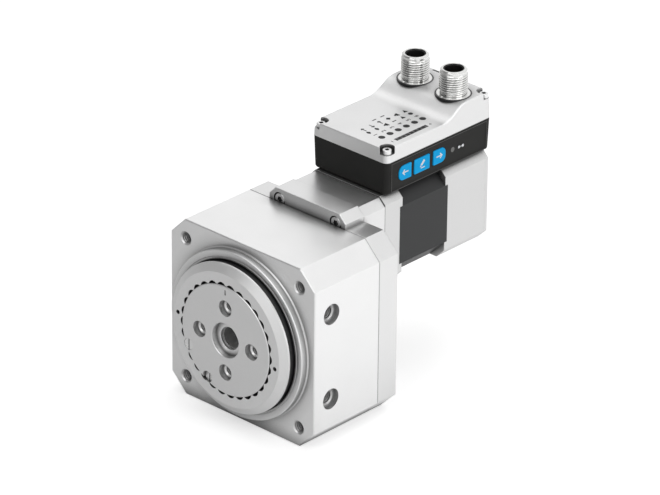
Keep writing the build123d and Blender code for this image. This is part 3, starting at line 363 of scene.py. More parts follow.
def printed_board(name, colour, track_colour):
    shader = Shader(name, colour, metallic=0.0, roughness=0.35)
    long_patches = shader.noise(size=1.4, detail=0.0, stretch=(3.0, 1.0, 1.0))
    tracks = shader.ramp(long_patches, 0.0, 1.0, from_low=0.5, from_high=0.52)
    shader.set("Base Color", shader.blend_colour(tracks, colour, track_colour))
    shader.bump(tracks, depth=0.03)
    shader.set("Coat Weight", 0.4)
    return shader.material


def key_plastic(name, colour):
    shader = Shader(name, colour, metallic=0.0, roughness=0.38)
    fine = shader.noise(size=0.2, detail=2.0)
    shader.soften_edges(radius=0.3)
    shader.bump(fine, depth=0.01)
    cloud = shader.noise(size=2.5, detail=2.0)
    shader.set("Base Color", shader.shade(colour, cloud, dark=0.93, light=1.08))
    shader.vary_roughness(fine, low=0.34, high=0.44)
    shader.set("Specular IOR Level", KEY_SPECULAR)
    return shader.material


def rubber(name, colour):
    shader = Shader(name, colour, metallic=0.0, roughness=0.32)
    shader.bump(shader.noise(size=0.18, detail=3.0), depth=0.006)
    cloud = shader.noise(size=1.8, detail=3.0)
    shader.set("Base Color", shader.shade(colour, cloud, dark=0.8, light=1.4))
    return shader.material


def metal_finishes():
    """Each with colour, metallic share, roughness, and its grain and depth or the pitch of its rings; some
    also with the reach and levels of their painted shade in holes and seams.
    """
    return {
        "housing": blasted_metal(
            "blasted_aluminium", grey(0.82), 0.88, 0.33, 0.35, 0.006, reach=7.0, clear_from=0.97, edge=0.28
        ),
        "plate": blasted_metal("milled_aluminium", grey(0.74), 0.88, 0.32, 0.5, 0.005, edge=0.4),
        "thread": blasted_metal("cut_thread", grey(0.5), 0.9, 0.3, 0.3, 0.003, reach=2.0, dark=0.4),
        "motor_metal": blasted_metal("die_cast_aluminium", grey(0.64), 0.88, 0.38, 0.3, 0.006, edge=0.4),
        "cover": blasted_metal(
            "silver_lacquer", grey(0.74), 0.85, 0.4, 0.3, 0.006, reach=8.0, dark=0.22, clear_from=1.0
        ),
        "nickel": blasted_metal(
            "bright_nickel", (0.76, 0.76, 0.75), 1.0, 0.17, 0.4, 0.001, reach=0.8, dark=0.35, edge=0.05
        ),
        "dark_screw": blasted_metal("blackened_steel", (0.05, 0.05, 0.055), 0.7, 0.38, 0.35, 0.01),
        "magnet": blasted_metal("sintered_magnet", (0.25, 0.25, 0.26), 0.6, 0.5, 0.4, 0.03),
        "output": turned_metal("turned_steel", grey(0.76), 0.86, 0.34, 0.35),
        "clamp": turned_metal("ground_steel", grey(0.82), 0.7, 0.42, 0.25),
        "bearing": turned_metal("bearing_steel", (0.6, 0.6, 0.61), 1.0, 0.18, 0.2),
        "brass": turned_metal("pressed_brass", (0.68, 0.5, 0.22), 0.9, 0.35, 0.4),
        "gear": turned_metal("gear_steel", (0.5, 0.5, 0.51), 0.9, 0.34, 0.5),
        "screw": turned_metal("zinc_steel", grey(0.8), 0.9, 0.28, 0.3),
        "gold": turned_metal("gold_contact", (0.85, 0.62, 0.25), 1.0, 0.25, 0.2),
        "stator": laminated_steel("laminated_steel", (0.035, 0.036, 0.037)),
        "copper": wound_copper("wound_copper", (0.62, 0.27, 0.12)),
    }


def other_finishes():
    """Each with its colour. Plastics have roughness, grain and depth too, and windows have roughness."""
    return {
        "seal": rubber("black_rubber", (0.012, 0.012, 0.013)),
        "buffer": rubber("buffer_rubber", (0.02, 0.02, 0.021)),
        "board": printed_board("printed_board", (0.02, 0.16, 0.07), (0.05, 0.26, 0.12)),
        "base": moulded_plastic("black_plastic", (0.025, 0.025, 0.024), 0.45, 0.25, 0.01, BASE_SPECULAR),
        "foil": moulded_plastic("foil_edge", (0.09, 0.09, 0.087), 0.4, 0.3, 0.005),
        "insert": moulded_plastic("black_insert", grey(0.008), 0.5, 0.15, 0.01),
        "print": moulded_plastic("white_print", (0.86, 0.88, 0.9), 0.5, 0.1, 0.004),
        "dark_print": moulded_plastic("grey_print", (0.02, 0.02, 0.021), 0.5, 0.1, 0.002, PRINT_SPECULAR),
        "key": key_plastic("blue_plastic", (0.0, 0.43, 0.9)),
        "window": smoked_window("smoked_window", (0.006, 0.006, 0.007), 0.3),
        "bar": bar_display("bar_display", (0.008, 0.008, 0.009), grey(0.22)),
        "lens": smoked_window("grey_lens", (0.16, 0.16, 0.155), 0.2),
    }


# Which nodes have which finish

NODE_FINISH = {
    "housing": ("gear_housing",),
    "plate": ("rear_cover", "motor_adapter", "bearing_retainer"),
    "motor_metal": ("motor_front_flange", "motor_rear_housing", "motor_end_cap"),
    "output": ("output_hub",),
    "clamp": ("clamp_ring",),
    "bearing": (
        "bearing_outer_rings",
        "bearing_inner_rings",
        "bearing_balls",
        "tail_bearing_outer",
        "tail_bearing_inner",
        "motor_bearing_inners",
        "motor_bearing_outers",
    ),
    "brass": ("bearing_cages",),
    "gear": ("output_gear", "pinion", "end_stop_segment", "motor_shaft"),
    "screw": ("lock_screws", "cover_screws", "motor_mount_screws", "base_screws", "board_screws"),
    "dark_screw": ("gear_screws", "cover_plate_screws", "motor_through_bolts"),
    "magnet": ("encoder_magnet", "rotor_core"),
    "seal": ("dust_seal", "cover_gasket", "connector_seals"),
    "buffer": ("stop_buffers",),
    "stator": ("stator_stack",),
    "copper": ("stator_windings",),
    "board": ("encoder_board", "circuit_board", "key_board"),
    "base": ("controller_base", "motor_plug"),
    "insert": ("power_connector_insert", "signal_connector_insert"),
    "cover": ("controller_cover",),
    "key": ("left_key", "middle_key", "right_key"),
    "window": ("indicator_windows",),
    "bar": ("bar_window",),
    "lens": ("status_lens",),
    "nickel": ("power_connector_shell", "signal_connector_shell"),
    "gold": ("power_connector_pins", "signal_connector_pins"),
}


def finish_nodes(materials):
    for finish, names in NODE_FINISH.items():
        for name in names:
            node = frame["nodes"][name]
            node.data.materials.clear()
            node.data.materials.append(materials[finish])


# Meshes, with places in millimetres

# The body that a piece rides on, and a material slot name
ON_HOUSING = ("housing", "housing_aluminium")
ON_OUTPUT = ("output", "output_steel")
ON_BASE = ("housing", "base_black")
ON_COVER = ("housing", "cover_silver")
IN_SHELL = ("housing", "insert_black")
AS_SHELL = ("housing", "connector_nickel")
KEY_SLOT = "key_blue"

THREAD_SLOPE = 1.35
THREAD_ROOT_FLAT = 0.15


def turn_angles(steps):
    return [2 * math.pi * step / steps for step in range(steps)]


def add_rings(built, rings):
    """A closed ring or sleeve, from rings of places that follow each other round its section."""
    grid = [[built.verts.new(Vector(place) * MM) for place in ring] for ring in rings]
    for below, above in zip(grid, grid[1:] + grid[:1]):
        for step in range(len(below)):
            after = (step + 1) % len(below)
            built.faces.new((below[step], below[after], above[after], above[step]))


def finish_mesh(built, name):
    bmesh.ops.recalc_face_normals(built, faces=built.faces)
    mesh = bpy.data.meshes.new(name)
    built.to_mesh(mesh)
    built.free()
    return mesh


def add_piece(name, mesh, material, holder, smooth_angle=None):
    body, slot = holder
    piece = bpy.data.objects.new(name, mesh)
    bpy.context.scene.collection.objects.link(piece)
    mesh.materials.append(material)
    if smooth_angle:
        mesh.shade_smooth()
        mesh.set_sharp_from_angle(angle=math.radians(smooth_angle))
    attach(piece, body)
    return piece


def middle_mm(name):
    """X and Y of the middle of a node's box."""
    low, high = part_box(name)
    return (low.x + high.x) / 2 / MM, (low.y + high.y) / 2 / MM


def heights_mm(name):
    """The lowest and highest Z of a node's box."""
    low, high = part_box(name)
    return low.z / MM, high.z / MM


def thread_radius(crest, root, height, angle, pitch):
    """A rounded triangular thread form at this height and angle."""
    phase = (height / pitch - angle / (2 * math.pi)) % 1.0
    rise = THREAD_SLOPE * (1.0 - abs(2.0 * phase - 1.0)) - THREAD_ROOT_FLAT
    rise = min(1.0, max(0.0, rise))
    return root + (crest - root) * rise


# Turned rings

TURNED_SMOOTH_ANGLE = 35


def lathe(name, rows, centre, axis, material, holder, steps):
    """A ring from radius and height pairs, turned about Z, or about Y with heights along +Y."""
    rings = []
    for radius, height in rows:
        ring = []
        for angle in turn_angles(steps):
            across = radius * math.cos(angle)
            up = radius * math.sin(angle)
            place = (across, up, height) if axis == "z" else (across, height, up)
            ring.append(Vector(place) + Vector(centre))
        rings.append(ring)
    built = bmesh.new()
    add_rings(built, rings)
    add_piece(name, finish_mesh(built, name), material, holder, TURNED_SMOOTH_ANGLE)


BOSS_FRONT = -3.6
MOUTH_RADIUS = 32.6
MOUTH_ROUND = 1.3
MOUTH_EDGE = 0.25
MOUTH_OVERLAP = 0.03
MOUTH_ARC_STEPS = 6
MOUTH_TURN_STEPS = 180


def boss_mouth(material):
    """Closes the round at the mouth of the seal bore to the crisp edge of the real one."""
    rows = [
        (MOUTH_RADIUS, BOSS_FRONT + MOUTH_ROUND),
        (MOUTH_RADIUS, BOSS_FRONT + MOUTH_EDGE),
        (MOUTH_RADIUS + MOUTH_EDGE, BOSS_FRONT),
        (MOUTH_RADIUS + MOUTH_ROUND, BOSS_FRONT),
    ]
    for step in range(1, MOUTH_ARC_STEPS):
        angle = 0.5 * math.pi * step / MOUTH_ARC_STEPS
        radius = MOUTH_RADIUS + MOUTH_ROUND * (1 - math.sin(angle))
        rows.append((radius, BOSS_FRONT + MOUTH_ROUND * (1 - math.cos(angle)) + MOUTH_OVERLAP))
    lathe("boss_mouth", rows, (0.0, 0.0, 0.0), "y", material, ON_HOUSING, MOUTH_TURN_STEPS)


# Connector shells with their threads, and the sleeves inside them

CONNECTORS = ("power_connector", "signal_connector")
CONNECTOR_BORE_RADIUS = 4.35
CONNECTOR_BORE_BEVEL = 0.12
CONNECTOR_THREAD_RADIUS = 6.0
CONNECTOR_THREAD_DEPTH = 0.5
CONNECTOR_THREAD_PITCH = 1.0
CONNECTOR_THREAD_LOW = 1.4
CONNECTOR_THREAD_HIGH = 1.6
CONNECTOR_THREAD_FADE = 0.6
CONNECTOR_ROWS_PER_PITCH = 10
CONNECTOR_ROOT_RADIUS = CONNECTOR_THREAD_RADIUS - CONNECTOR_THREAD_DEPTH
CONNECTOR_FOOT_RADIUS = 7.1
CONNECTOR_FOOT_HEIGHT = 0.25
CONNECTOR_FOOT_SINK = 0.5
CONNECTOR_FOOT_BEVEL = 0.15
CONNECTOR_NOTCH_WIDTH = 1.4
CONNECTOR_NOTCH_DEPTH = 0.8
CONNECTOR_NOTCH_ANGLE = 1.5 * math.pi
CONNECTOR_NECK_HEIGHT = 0.4
CONNECTOR_RIM_STEP = 0.15
CONNECTOR_RIM_STEP_HEIGHT = 0.1
CONNECTOR_RIM_BEVEL_HEIGHT = 0.6
CONNECTOR_RIM_BEVEL_WIDTH = 0.5
CONNECTOR_RIM_ROUND_HEIGHT = 0.08
CONNECTOR_RIM_ROUND_WIDTH = 0.1
CONNECTOR_TURN_STEPS = 120
LINING_DROP = 0.5
LINING_WIDTH = 0.5
LINING_SINK = 0.5
LINING_OVERLAP = 0.02
LINING_BEVEL = 0.1
LINING_TURN_STEPS = 96


def connector_profile(seat, top, bottom):
    """Radius, height and kind of each row, from the bore's foot round the outside back to the bore."""
    foot = seat + CONNECTOR_FOOT_HEIGHT
    under = seat - CONNECTOR_FOOT_SINK
    low = seat + CONNECTOR_THREAD_LOW
    high = top - CONNECTOR_THREAD_HIGH
    root = CONNECTOR_ROOT_RADIUS
    neck = high + CONNECTOR_NECK_HEIGHT
    rim = root + CONNECTOR_RIM_STEP
    lip = rim - CONNECTOR_RIM_BEVEL_WIDTH
    rows = [
        (CONNECTOR_BORE_RADIUS, bottom, "plain"),
        (CONNECTOR_THREAD_RADIUS, bottom, "plain"),
        (CONNECTOR_THREAD_RADIUS, under, "plain"),
        (CONNECTOR_FOOT_RADIUS, under, "plain"),
        (CONNECTOR_FOOT_RADIUS, foot - CONNECTOR_FOOT_BEVEL, "foot"),
        (CONNECTOR_FOOT_RADIUS - CONNECTOR_FOOT_BEVEL, foot, "foot"),
        (root, foot, "plain"),
        (root, low, "plain"),
    ]
    steps = int((high - low) / (CONNECTOR_THREAD_PITCH / CONNECTOR_ROWS_PER_PITCH))
    rows += [(root, low + (high - low) * index / steps, "thread") for index in range(steps + 1)]
    rows += [
        (root, high, "plain"),
        (root, neck, "plain"),
        (rim, neck + CONNECTOR_RIM_STEP_HEIGHT, "plain"),
        (rim, top - CONNECTOR_RIM_BEVEL_HEIGHT, "plain"),
        (lip, top - CONNECTOR_RIM_ROUND_HEIGHT, "plain"),
        (lip - CONNECTOR_RIM_ROUND_WIDTH, top, "plain"),
        (CONNECTOR_BORE_RADIUS + CONNECTOR_BORE_BEVEL, top, "plain"),
        (CONNECTOR_BORE_RADIUS, top - CONNECTOR_BORE_BEVEL, "plain"),
    ]
    return rows, low, high


def connector_reach(radius, height, kind, angle, low, high):
    """The radius at this angle, with the thread between low and high, and with the notch in the foot."""
    if kind == "thread":
        fade = min(1.0, (height - low) / CONNECTOR_THREAD_FADE, (high - height) / CONNECTOR_THREAD_FADE)
        crest = thread_radius(CONNECTOR_THREAD_RADIUS, radius, height, angle, CONNECTOR_THREAD_PITCH)
        return radius + (crest - radius) * max(0.0, fade)
    if kind == "foot" and abs(angle - CONNECTOR_NOTCH_ANGLE) < CONNECTOR_NOTCH_WIDTH / 2 / radius:
        return radius - CONNECTOR_NOTCH_DEPTH
    return radius


def connector_shell(name, material):
    x, y = middle_mm(name)
    bottom, top = heights_mm(name)
    seat = heights_mm("controller_cover")[1]
    rows, low, high = connector_profile(seat, top, bottom)
    rings = []
    for radius, height, kind in rows:
        ring = []
        for angle in turn_angles(CONNECTOR_TURN_STEPS):
            reach = connector_reach(radius, height, kind, angle, low, high)
            ring.append((x + reach * math.cos(angle), y + reach * math.sin(angle), height))
        rings.append(ring)
    built = bmesh.new()
    add_rings(built, rings)
    mesh = finish_mesh(built, name + "_threaded")
    piece = add_piece(mesh.name, mesh, material, AS_SHELL, TURNED_SMOOTH_ANGLE)
    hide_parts(name)


def connector_lining(shell_name, insert_name, material):
    """The black sleeve between the contact pins and the shell."""
    x, y = middle_mm(shell_name)
    top = heights_mm(shell_name)[1] - LINING_DROP
    bottom = heights_mm(insert_name)[1] - LINING_SINK
    outer = CONNECTOR_BORE_RADIUS + LINING_OVERLAP
    inner = outer - LINING_WIDTH
    rows = [(inner, bottom), (outer, bottom), (outer, top)]
    rows += [(inner + LINING_BEVEL, top), (inner, top - LINING_BEVEL)]
    lathe(shell_name + "_lining", rows, (x, y, 0.0), "z", material, IN_SHELL, LINING_TURN_STEPS)


# Threads in the blind holes

HOLE_THREAD_PITCH = 1.0
HOLE_THREAD_DEPTH = 0.28
HOLE_ROWS_PER_PITCH = 8
HOLE_TURN_STEPS = 40
HOLE_SLEEVE_WALL = 0.1
HOLE_SMOOTH_ANGLE = 50
CORNER_THREAD_LENGTH = 8.0
SIDE_THREAD_LENGTH = 6.0
SIDE_THREAD_DROP = 0.6
FLANGE_THREAD_LENGTH = 5.0


def threaded_sleeves(name, holes, depth, radius, material, holder):
    """Thread linings, for holes given as a mouth point and a direction into the hole."""
    built = bmesh.new()
    levels = int(depth * HOLE_ROWS_PER_PITCH / HOLE_THREAD_PITCH)
    rows = [(depth * level / levels, True) for level in range(levels + 1)]
    rows += [(depth, False), (0.0, False)]
    crest = radius - HOLE_THREAD_DEPTH
    for mouth, direction in holes:
        inward = Vector(direction)
        across = inward.orthogonal().normalized()
        around = inward.cross(across)
        rings = []
        for height, threaded in rows:
            ring = []
            for angle in turn_angles(HOLE_TURN_STEPS):
                reach = radius + HOLE_SLEEVE_WALL
                if threaded:
                    reach = thread_radius(crest, radius, height, angle, HOLE_THREAD_PITCH)
                turned = across * (reach * math.cos(angle)) + around * (reach * math.sin(angle))
                ring.append(Vector(mouth) + turned + inward * height)
            rings.append(ring)
        add_rings(built, rings)
    add_piece(name, finish_mesh(built, name), material, holder, HOLE_SMOOTH_ANGLE)


def thread_holes(material):
    mounts = {mount["name"]: mount for mount in frame["record"]["mounts"]}
    front = mounts["housing_front_holes"]
    half = front["dims"]["spacing_x_mm"] / 2
    face = front["pos_m"][1] / MM
    corners = [((x, face, z), Y_AXIS) for x in (-half, half) for z in (-half, half)]
    radius = front["dims"]["hole_r_mm"]
    threaded_sleeves("corner_threads", corners, CORNER_THREAD_LENGTH, radius, material, ON_HOUSING)
    sides = []
    for name, side in (("right_side_holes", 1.0), ("left_side_holes", -1.0)):
        x, y, z = (part / MM for part in mounts[name]["pos_m"])
        half = mounts[name]["dims"]["spacing_y_mm"] / 2
        mouth = x - side * SIDE_THREAD_DROP
        sides += [((mouth, y, z + shift), X_AXIS * -side) for shift in (-half, half)]
    radius = mounts["right_side_holes"]["dims"]["hole_r_mm"]
    threaded_sleeves("side_threads", sides, SIDE_THREAD_LENGTH, radius, material, ON_HOUSING)
    flange = mounts["output_flange_holes"]
    circle = flange["dims"]["pcd_mm"] / 2
    face = flange["pos_m"][1] / MM
    places = [((x, face, z), Y_AXIS) for x, z in ((circle, 0), (-circle, 0), (0, circle), (0, -circle))]
    radius = flange["dims"]["hole_r_mm"]
    threaded_sleeves("flange_threads", places, FLANGE_THREAD_LENGTH, radius, material, ON_OUTPUT)


# Printed marks as thin raised layers, with outlines in millimetres

PRINT_THICKNESS = 0.03
PRINT_SINK = 0.05
ROUND_STEPS = 24

# Across and upward, as a mark is read on the side, on top, and on top from the back
SIDE_VIEW = (Y_AXIS, Z_AXIS)
TOP_VIEW = (X_AXIS, Y_AXIS)
BACK_VIEW = (-X_AXIS, -Y_AXIS)


def print_mark(name, outlines, origin, view, material, holder):
    """Flat outlines, raised a hair above the surface at the origin, which is in metres."""
    across, upward = view
    normal = across.cross(upward)
    built = bmesh.new()
    for outline in outlines:
        flat = [origin + across * (x * MM) + upward * (y * MM) for x, y in outline]
        low = [built.verts.new(place - normal * (PRINT_SINK * MM)) for place in flat]
        high = [built.verts.new(place + normal * (PRINT_THICKNESS * MM)) for place in flat]
        built.faces.new(high)
        built.faces.new(list(reversed(low)))
        for index in range(len(flat)):
            after = (index + 1) % len(flat)
            built.faces.new((low[index], low[after], high[after], high[index]))
    add_piece(name, finish_mesh(built, name), material, holder)


def block(left, low, right, high):
    return [(left, low), (right, low), (right, high), (left, high)]


def mirrored(outline):
    return [(-x, y) for x, y in reversed(outline)]


def both_halves(half):
    """An outline from the half of it that lies on one side of the level line."""
    return half + [(x, -y) for x, y in reversed(half)]


def shifted(outline, across, upward):
    return [(x + across, y + upward) for x, y in outline]


def rotated(outline, angle):
    cosine = math.cos(math.radians(angle))
    sine = math.sin(math.radians(angle))
    return [(x * cosine - y * sine, x * sine + y * cosine) for x, y in outline]


def round_outline(radius):
    return [(radius * math.cos(angle), radius * math.sin(angle)) for angle in turn_angles(ROUND_STEPS)]


def arrow_outline(half, reach, stroke):
    """An arrow to the right with an open head."""
    slant = stroke / math.sqrt(2)
    neck = half - stroke * math.sqrt(2) - stroke / 2
    upper = [(-half, stroke / 2), (neck, stroke / 2)]
    upper += [(half - reach - slant, reach - slant), (half - reach, reach)]
    return upper + [(half, 0.0)] + [(x, -y) for x, y in reversed(upper)]


def plus_outline(arm, half_bar):
    corner = [(-arm, -half_bar), (-half_bar, -half_bar), (-half_bar, -arm)]
    return [place for quarter in range(4) for place in rotated(corner, 90.0 * quarter)]


# Marks on the side of the controller

PENCIL_TILT = 45.0
PENCIL_BODY = block(-1.0, -0.55, 1.7, 0.55)
PENCIL_TIP = [(-1.25, 0.5), (-2.1, 0.0), (-1.25, -0.5)]
PENCIL_SHIFT = (0.25, 0.35)
PENCIL_LINE = block(-0.7, -1.75, 1.7, -1.35)
KEY_ARROW = arrow_outline(1.85, 1.35, 0.55)

# Two small squares joined by a line
LINK_HALF = [(-1.7, -0.55), (-0.6, -0.55), (-0.6, -0.16), (0.6, -0.16), (0.6, -0.55), (1.7, -0.55)]
LINK_GAP = 3.4

FOIL_END_MARGIN = 3.0
FOIL_FOOT_MARGIN = 1.2
FOIL_TOP_MARGIN = 1.0
FOIL_EDGE_WIDTH = 0.22


def pencil_outlines():
    pencil = [shifted(rotated(outline, PENCIL_TILT), *PENCIL_SHIFT) for outline in (PENCIL_BODY, PENCIL_TIP)]
    return pencil + [PENCIL_LINE]


def key_symbols(material):
    symbols = {"left_key": [mirrored(KEY_ARROW)], "middle_key": pencil_outlines(), "right_key": [KEY_ARROW]}
    for name, outlines in symbols.items():
        low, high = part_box(name)
        middle = Vector((high.x, (low.y + high.y) / 2, (low.z + high.z) / 2))
        print_mark(name + "_symbol", outlines, middle, SIDE_VIEW, material, (name, KEY_SLOT))


def link_mark(material):
    """A small mark beside the lens."""
    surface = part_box("controller_base")[1].x
    low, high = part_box("status_lens")
    origin = Vector((surface, high.y + LINK_GAP * MM, (low.z + high.z) / 2))
    print_mark("link_mark", [both_halves(LINK_HALF)], origin, SIDE_VIEW, material, ON_BASE)


def foil_edge(material):
    """The edge of the keypad foil."""
    low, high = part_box("controller_base")
    front = low.y / MM + FOIL_END_MARGIN
    back = high.y / MM - FOIL_END_MARGIN
    foot = low.z / MM + FOIL_FOOT_MARGIN
    top = high.z / MM - FOIL_TOP_MARGIN
    width = FOIL_EDGE_WIDTH
    edges = [
        block(front, foot, back, foot + width),
        block(front, top - width, back, top),
        block(front, foot + width, front + width, top - width),
        block(back - width, foot + width, back, top - width),
    ]
    origin = Vector((high.x, 0.0, 0.0))
    print_mark("foil_edge", edges, origin, SIDE_VIEW, material, ON_BASE)


# Marks on top of the controller

DIGIT_SIZE = 3.0
DIGIT_GAP = 1.6
SIGN_STEP = 3.3
SIGN_SCALE = 1.15
SIGN_ARROW = arrow_outline(1.3, 0.8, 0.38)
GAUGE_RADIUS = 1.15
GAUGE_STEPS = 14
GAUGE_LOW = math.radians(20.0)
GAUGE_HIGH = math.radians(160.0)
GAUGE_HUB = (0.0, -0.35)
BAR_END_GAP = 1.6
BAR_END_ARM = 0.6
BAR_END_STROKE = 0.14


def gauge_outline():
    """A fan with its tip at the hub."""
    spread = [GAUGE_LOW + (GAUGE_HIGH - GAUGE_LOW) * step / GAUGE_STEPS for step in range(GAUGE_STEPS + 1)]
    arc = [(GAUGE_RADIUS * math.cos(angle), GAUGE_RADIUS * math.sin(angle)) for angle in spread]
    return arc + [GAUGE_HUB]


WEIGHT_BODY = [(-1.1, -0.9), (1.1, -0.9), (0.7, 0.35), (-0.7, 0.35)]
WEIGHT_KNOB_RADIUS = 0.35
WEIGHT_KNOB_HEIGHT = 0.75
SIGNS = {
    "gauge": [gauge_outline()],
    "arrow_out": [SIGN_ARROW],
    "arrow_in": [mirrored(SIGN_ARROW)],
    "weight": [WEIGHT_BODY, shifted(round_outline(WEIGHT_KNOB_RADIUS), 0.0, WEIGHT_KNOB_HEIGHT)],
    "diamond": [[(0.0, -1.0), (1.0, 0.0), (0.0, 1.0), (-1.0, 0.0)]],
    "play": [[(-0.8, -0.95), (1.0, 0.0), (-0.8, 0.95)]],
    "post": [block(-0.22, -0.95, 0.22, 0.95)],
    "ring": [round_outline(0.9)],
}
SIGN_ROWS = (
    ("gauge", "arrow_out"),
    ("gauge", "arrow_in"),
    ("weight", "arrow_out", "post"),
    ("post", "diamond", "post"),
    ("play", "weight"),
    ("ring", "play"),
)


def digit_mesh(name, digit):
    text = bpy.data.curves.new(name, "FONT")
    text.body = str(digit)
    text.size = DIGIT_SIZE
    text.extrude = (PRINT_THICKNESS + PRINT_SINK) / 2
    text.align_x = "CENTER"
    text.align_y = "CENTER"
    holder = bpy.data.objects.new(name, text)
    mesh = bpy.data.meshes.new_from_object(holder)
    bpy.data.objects.remove(holder)
    return mesh


def sign_outlines(signs):
    """The signs of one row, side by side after its digit."""
    outlines = []
    for column, sign in enumerate(signs, 1):
        for outline in SIGNS[sign]:
            scaled = [(x * SIGN_SCALE, y * SIGN_SCALE) for x, y in outline]
            outlines.append(shifted(scaled, SIGN_STEP * column, 0.0))
    return outlines


def window_signs(material):
    """A number and generic signs beside each indicator window, upright when seen from the back."""
    low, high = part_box("indicator_windows")
    width = high.x - low.x
    first = low.y / MM + width / 2 / MM
    pitch = (high.y - low.y - width) / (len(SIGN_ROWS) - 1) / MM
    left = low.x / MM - DIGIT_GAP
    surface = high.z / MM
    half_turn = Matrix.Rotation(math.pi, 4, "Z")
    for row, signs in enumerate(SIGN_ROWS):
        number = row + 1
        y = first + pitch * row
        place = Vector((left, y, surface + (PRINT_THICKNESS - PRINT_SINK) / 2))
        name = "digit_%d" % number
        mesh = digit_mesh(name, number)
        mesh.transform(Matrix.Translation(place * MM) @ half_turn @ Matrix.Scale(MM, 4))
        add_piece(name, mesh, material, ON_COVER)
        origin = Vector((left, y, surface)) * MM
        outlines = sign_outlines(signs)
        print_mark("sign_row_%d" % number, outlines, origin, BACK_VIEW, material, ON_COVER)


def bar_ends(material):
    """Plus and minus marks at the ends of the bar window."""
    low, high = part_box("bar_window")
    middle = (low.x + high.x) / 2
    minus = block(-BAR_END_ARM, -BAR_END_STROKE, BAR_END_ARM, BAR_END_STROKE)
    plus = plus_outline(BAR_END_ARM, BAR_END_STROKE)
    marks = {
        "bar_minus": (minus, low.y - BAR_END_GAP * MM),
        "bar_plus": (plus, high.y + BAR_END_GAP * MM),
    }
    for name, (outline, y) in marks.items():
        origin = Vector((middle, y, high.z))
        print_mark(name, [outline], origin, TOP_VIEW, material, ON_COVER)


# Room, floor and lamps, in metres and watts

ROOM_DIM_FROM = -0.5
ROOM_WHITE_FROM = 0.6
ROOM_DIM_LEVEL = 0.26
ROOM_RIGHT_SHARE = 1.6
WORLD_LIGHT = 0.36
FLOOR_REACH = 3.0
FLOOR_COLOUR = (0.85, 0.85, 0.85, 1.0)
FLOOR_ROUGHNESS = 0.9
FLOOR_LIFT = 0.56
# Where the floor's lift in reflections is painted darker, as shade at the object's front left
FLOOR_WHITE_TOWARDS = (0.85, 0.5, 0.0)
FLOOR_PAINTED_SHADE_FROM = -0.05
FLOOR_WHITE_FROM = 0.15
FLOOR_PAINTED_SHADE_LEVEL = 0.05

LAMP_TARGET = Vector((0.0, 0.06, 0.02))
LAMPS = {
    "side_lamp": {"place": (1.3, 0.25, 0.45), "size": (1.2, 1.0), "power": 5.8},
    "top_lamp": {"place": (-0.25, 0.35, 1.4), "size": (1.4, 1.4), "power": 6.5},
    "front_lamp": {"place": (0.1, -1.0, 1.15), "size": (1.1, 1.1), "power": 4.0},
}


def background_rays(nodes):
    """The camera rays, and the glossy and transmission rays that see the background in the object."""
    path = nodes.node("ShaderNodeLightPath").outputs
    return path["Is Camera Ray"], nodes.math("MAXIMUM", path["Is Glossy Ray"], path["Is Transmission Ray"])


def make_world():
    """White behind the object and to its right, and dimmer towards the front left of the room."""
    world = bpy.data.worlds.new("studio")
    world.use_nodes = True
    bpy.context.scene.world = world
    nodes = Nodes(world.node_tree)
    background = world.node_tree.nodes["Background"]
    nodes.feed(background.inputs["Color"], (*WHITE, 1.0))
    parts = nodes.split(nodes.node("ShaderNodeTexCoord").outputs["Generated"])
    towards_white = nodes.math("MAXIMUM", parts[1], nodes.math("MULTIPLY", parts[0], ROOM_RIGHT_SHARE))
    room = nodes.ramp(towards_white, ROOM_DIM_LEVEL, 1.0, ROOM_DIM_FROM, ROOM_WHITE_FROM, "SMOOTHSTEP")
    seen, reflected = background_rays(nodes)
    dimmed = nodes.math("MULTIPLY", nodes.ramp(reflected, WORLD_LIGHT, 1.0), room)
    nodes.feed(background.inputs["Strength"], nodes.math("MAXIMUM", seen, dimmed))


def dim_front_left(nodes, rays):
    """Painted shade on the floor: the share of these rays, lowered on the part of the floor that lies at the
    object's front left.
    """
    along = nodes.node("ShaderNodeVectorMath", operation="DOT_PRODUCT")
    nodes.feed(along.inputs[0], nodes.node("ShaderNodeNewGeometry").outputs["Position"])
    nodes.feed(along.inputs[1], FLOOR_WHITE_TOWARDS)
    distance = along.outputs["Value"]
    share = nodes.ramp(distance, FLOOR_PAINTED_SHADE_LEVEL, 1.0, FLOOR_PAINTED_SHADE_FROM, FLOOR_WHITE_FROM, "SMOOTHSTEP")
    return nodes.math("MULTIPLY", share, rays)


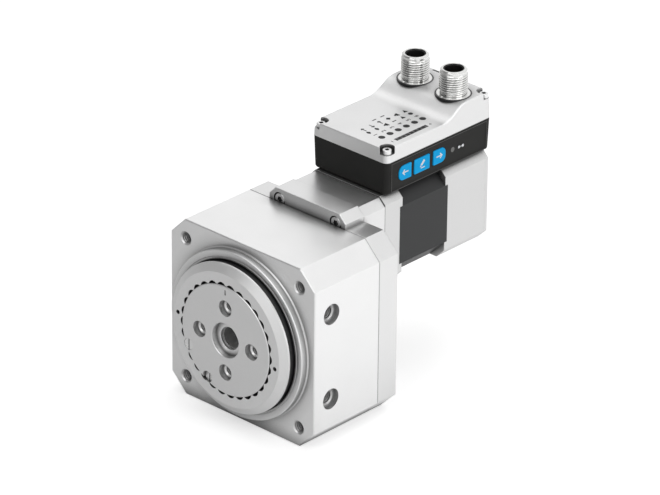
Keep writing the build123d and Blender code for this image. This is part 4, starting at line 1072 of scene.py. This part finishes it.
def floor_material():
    """Pale and matt, so that it takes the object's shadow, and lifted to white for the camera. The lift that
    reflections show has painted shade at the object's front left.
    """
    material = bpy.data.materials.new("pale_floor")
    material.use_nodes = True
    nodes = Nodes(material.node_tree)
    surface = nodes.tree.nodes["Principled BSDF"]
    nodes.feed(surface.inputs["Base Color"], FLOOR_COLOUR)
    nodes.feed(surface.inputs["Roughness"], FLOOR_ROUGHNESS)
    nodes.feed(surface.inputs["Specular IOR Level"], 0.0)
    glow = nodes.node("ShaderNodeEmission")
    seen, reflected = background_rays(nodes)
    # Painted shade on the floor as metal and glass reflect it
    rays = nodes.math("MAXIMUM", seen, dim_front_left(nodes, reflected))
    nodes.feed(glow.inputs["Strength"], nodes.math("MULTIPLY", rays, FLOOR_LIFT))
    both = nodes.node("ShaderNodeAddShader")
    nodes.feed(both.inputs[0], surface.outputs[0])
    nodes.feed(both.inputs[1], glow.outputs[0])
    nodes.feed(nodes.tree.nodes["Material Output"].inputs["Surface"], both.outputs[0])
    return material


def make_stage():
    height = cad_box[0].z
    mesh = bpy.data.meshes.new("floor")
    corners = [(x, y, height) for x, y in block(-FLOOR_REACH, -FLOOR_REACH, FLOOR_REACH, FLOOR_REACH)]
    mesh.from_pydata(corners, [], [(0, 1, 2, 3)])
    mesh.materials.append(floor_material())
    floor = bpy.data.objects.new("floor", mesh)
    bpy.context.scene.collection.objects.link(floor)


def make_lamps():
    for name, values in LAMPS.items():
        data = bpy.data.lights.new(name, "AREA")
        data.shape = "RECTANGLE"
        data.size, data.size_y = values["size"]
        data.energy = values["power"]
        lamp = bpy.data.objects.new(name, data)
        bpy.context.scene.collection.objects.link(lamp)
        lamp.location = values["place"]
        aim = LAMP_TARGET - lamp.location
        lamp.rotation_euler = aim.to_track_quat("-Z", "Y").to_euler()


make_camera()
make_world()
make_stage()
make_lamps()
bpy.context.scene.view_settings.view_transform = "Standard"
materials = {**metal_finishes(), **other_finishes()}
finish_nodes(materials)
for connector in CONNECTORS:
    connector_shell(connector + "_shell", materials["nickel"])
for connector in CONNECTORS:
    connector_lining(connector + "_shell", connector + "_insert", materials["insert"])
boss_mouth(materials["housing"])
thread_holes(materials["thread"])
key_symbols(materials["print"])
link_mark(materials["print"])
foil_edge(materials["foil"])
window_signs(materials["dark_print"])
bar_ends(materials["dark_print"])
